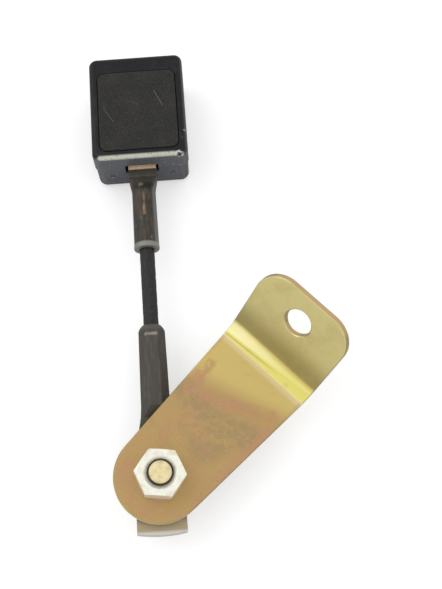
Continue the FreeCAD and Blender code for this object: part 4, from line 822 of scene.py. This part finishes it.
def sky():
    """Nearly even world light, a little greyer overhead, white where the camera sees it."""
    world = bpy.data.worlds.new("studio_sky")
    bpy.context.scene.world = world
    world.use_nodes = True
    tree = world.node_tree
    back = tree.nodes["Background"]
    place = tree.nodes.new("ShaderNodeTexCoord")
    part = tree.nodes.new("ShaderNodeSeparateXYZ")
    tree.links.new(place.outputs["Generated"], part.inputs[0])
    ramp = tree.nodes.new("ShaderNodeValToRGB")
    ramp.color_ramp.elements[0].position = 0.05
    ramp.color_ramp.elements[0].color = (1.0, 1.0, 1.0, 1.0)
    ramp.color_ramp.elements[1].position = 0.95
    ramp.color_ramp.elements[1].color = (0.93, 0.93, 0.95, 1.0)
    tree.links.new(part.outputs[2], ramp.inputs[0])
    tree.links.new(ramp.outputs[0], back.inputs["Color"])
    back.inputs["Strength"].default_value = settings().stage.sky
    plain = tree.nodes.new("ShaderNodeBackground")
    path = tree.nodes.new("ShaderNodeLightPath")
    choice = tree.nodes.new("ShaderNodeMixShader")
    tree.links.new(path.outputs["Is Camera Ray"], choice.inputs[0])
    tree.links.new(back.outputs[0], choice.inputs[1])
    tree.links.new(plain.outputs[0], choice.inputs[2])
    plain.inputs["Color"].default_value = (1.0, 1.0, 1.0, 1.0)
    plain.inputs["Strength"].default_value = 1.0
    tree.links.new(choice.outputs[0], tree.nodes["World Output"].inputs["Surface"])


def lamp(name, place, aim, size, power):
    """A square area lamp that looks at a place."""
    data = bpy.data.lights.new(name, "AREA")
    data.size = size
    data.energy = power
    item = bpy.data.objects.new(name, data)
    bpy.context.scene.collection.objects.link(item)
    place, aim = np.array(place), np.array(aim)
    item.location = place
    item.rotation_euler = Vector(aim - place).to_track_quat("-Z", "Y").to_euler()
    return item


CAMERA = {"azimuth": -2.625, "elevation": 70.547, "roll": -1.789,
          "place": (-0.035431, -0.11678, 0.369202)}


class BELT_OT_stage(bpy.types.Operator):
    """Lay the floor, set the lamps and the sky, and stand the camera over the object"""

    bl_idname = "belt.stage"
    bl_label = "Floor, Light and Camera"

    def execute(self, context):
        stage = settings().stage
        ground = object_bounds()[0].z - 0.02 * MM
        side = 1.6
        step = np.linspace(-side, side, 9)
        x, y = np.meshgrid(step, step, indexing="xy")
        points = np.stack([x, y, np.full_like(x, ground)], axis=-1)
        floor = make_piece("floor", points, grid_faces(9, 9, False), False)
        floor.data.materials.append(floor_finish())
        floor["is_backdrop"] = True
        sky()
        aim = (-0.03, 0.03, ground)
        lamp("key_lamp", (-0.62, 0.30, 0.85), aim, 0.7, stage.key)
        lamp("fill_lamp", (0.75, -0.45, 0.70), aim, 0.9, stage.key * 0.25)
        self.stand_camera(context, stage)
        context.scene.view_settings.view_transform = "Standard"
        return {"FINISHED"}

    def stand_camera(self, context, stage):
        """Stand the camera at its azimuth, elevation and roll."""
        azimuth, elevation, roll = (math.radians(CAMERA[key])
                                    for key in ("azimuth", "elevation", "roll"))
        ahead = np.array([-math.sin(azimuth) * math.cos(elevation),
                          math.cos(azimuth) * math.cos(elevation), -math.sin(elevation)])
        right = np.cross(ahead, [0.0, 0.0, 1.0])
        right /= np.linalg.norm(right)
        above = np.cross(right, ahead)
        turned = right * math.cos(roll) + above * math.sin(roll)
        upward = -right * math.sin(roll) + above * math.cos(roll)
        data = bpy.data.cameras.new("camera")
        data.sensor_width = 36.0
        data.lens = stage.focal
        data.clip_start = 0.01
        data.clip_end = 20.0
        camera = bpy.data.objects.new("camera", data)
        context.scene.collection.objects.link(camera)
        matrix = np.eye(4)
        matrix[:3, 0], matrix[:3, 1], matrix[:3, 2] = turned, upward, -ahead
        matrix[:3, 3] = CAMERA["place"]
        camera.matrix_world = Matrix(matrix.tolist())
        context.scene.camera = camera


class BELT_PT_panel(bpy.types.Panel):
    """Lists the steps of the finish and their settings"""

    bl_idname = "BELT_PT_panel"
    bl_label = "Belt Anchor"
    bl_space_type = "VIEW_3D"
    bl_region_type = "UI"
    bl_category = "Belt Anchor"

    def draw(self, context):
        column = self.layout.column()
        for step in OPERATORS:
            column.operator(step.bl_idname)
        for group in (settings().rope, settings().thread, settings().colours, settings().stage):
            for name in group.__annotations__:
                column.prop(group, name)


GROUPS = (BeltRopeSettings, BeltThreadSettings, BeltColourSettings, BeltStageSettings,
          BeltAnchorSettings)
OPERATORS = (BELT_OT_rope, BELT_OT_pivot, BELT_OT_bracket, BELT_OT_sleeves, BELT_OT_housing,
             BELT_OT_mechanism, BELT_OT_stage)


def register():
    """Add the classes and the scene's settings."""
    for item in (*GROUPS, *OPERATORS, BELT_PT_panel):
        bpy.utils.register_class(item)
    bpy.types.Scene.belt_anchor = bpy.props.PointerProperty(type=BeltAnchorSettings)


def unregister():
    """Take the settings and the classes away again."""
    del bpy.types.Scene.belt_anchor
    for item in reversed((*GROUPS, *OPERATORS, BELT_PT_panel)):
        bpy.utils.unregister_class(item)


def main():
    """Run every step in order."""
    register()
    bpy.ops.belt.rope()
    bpy.ops.belt.pivot()
    bpy.ops.belt.bracket()
    bpy.ops.belt.sleeves()
    bpy.ops.belt.housing()
    bpy.ops.belt.mechanism()
    bpy.ops.belt.stage()


if __name__ == "__main__":
    main()
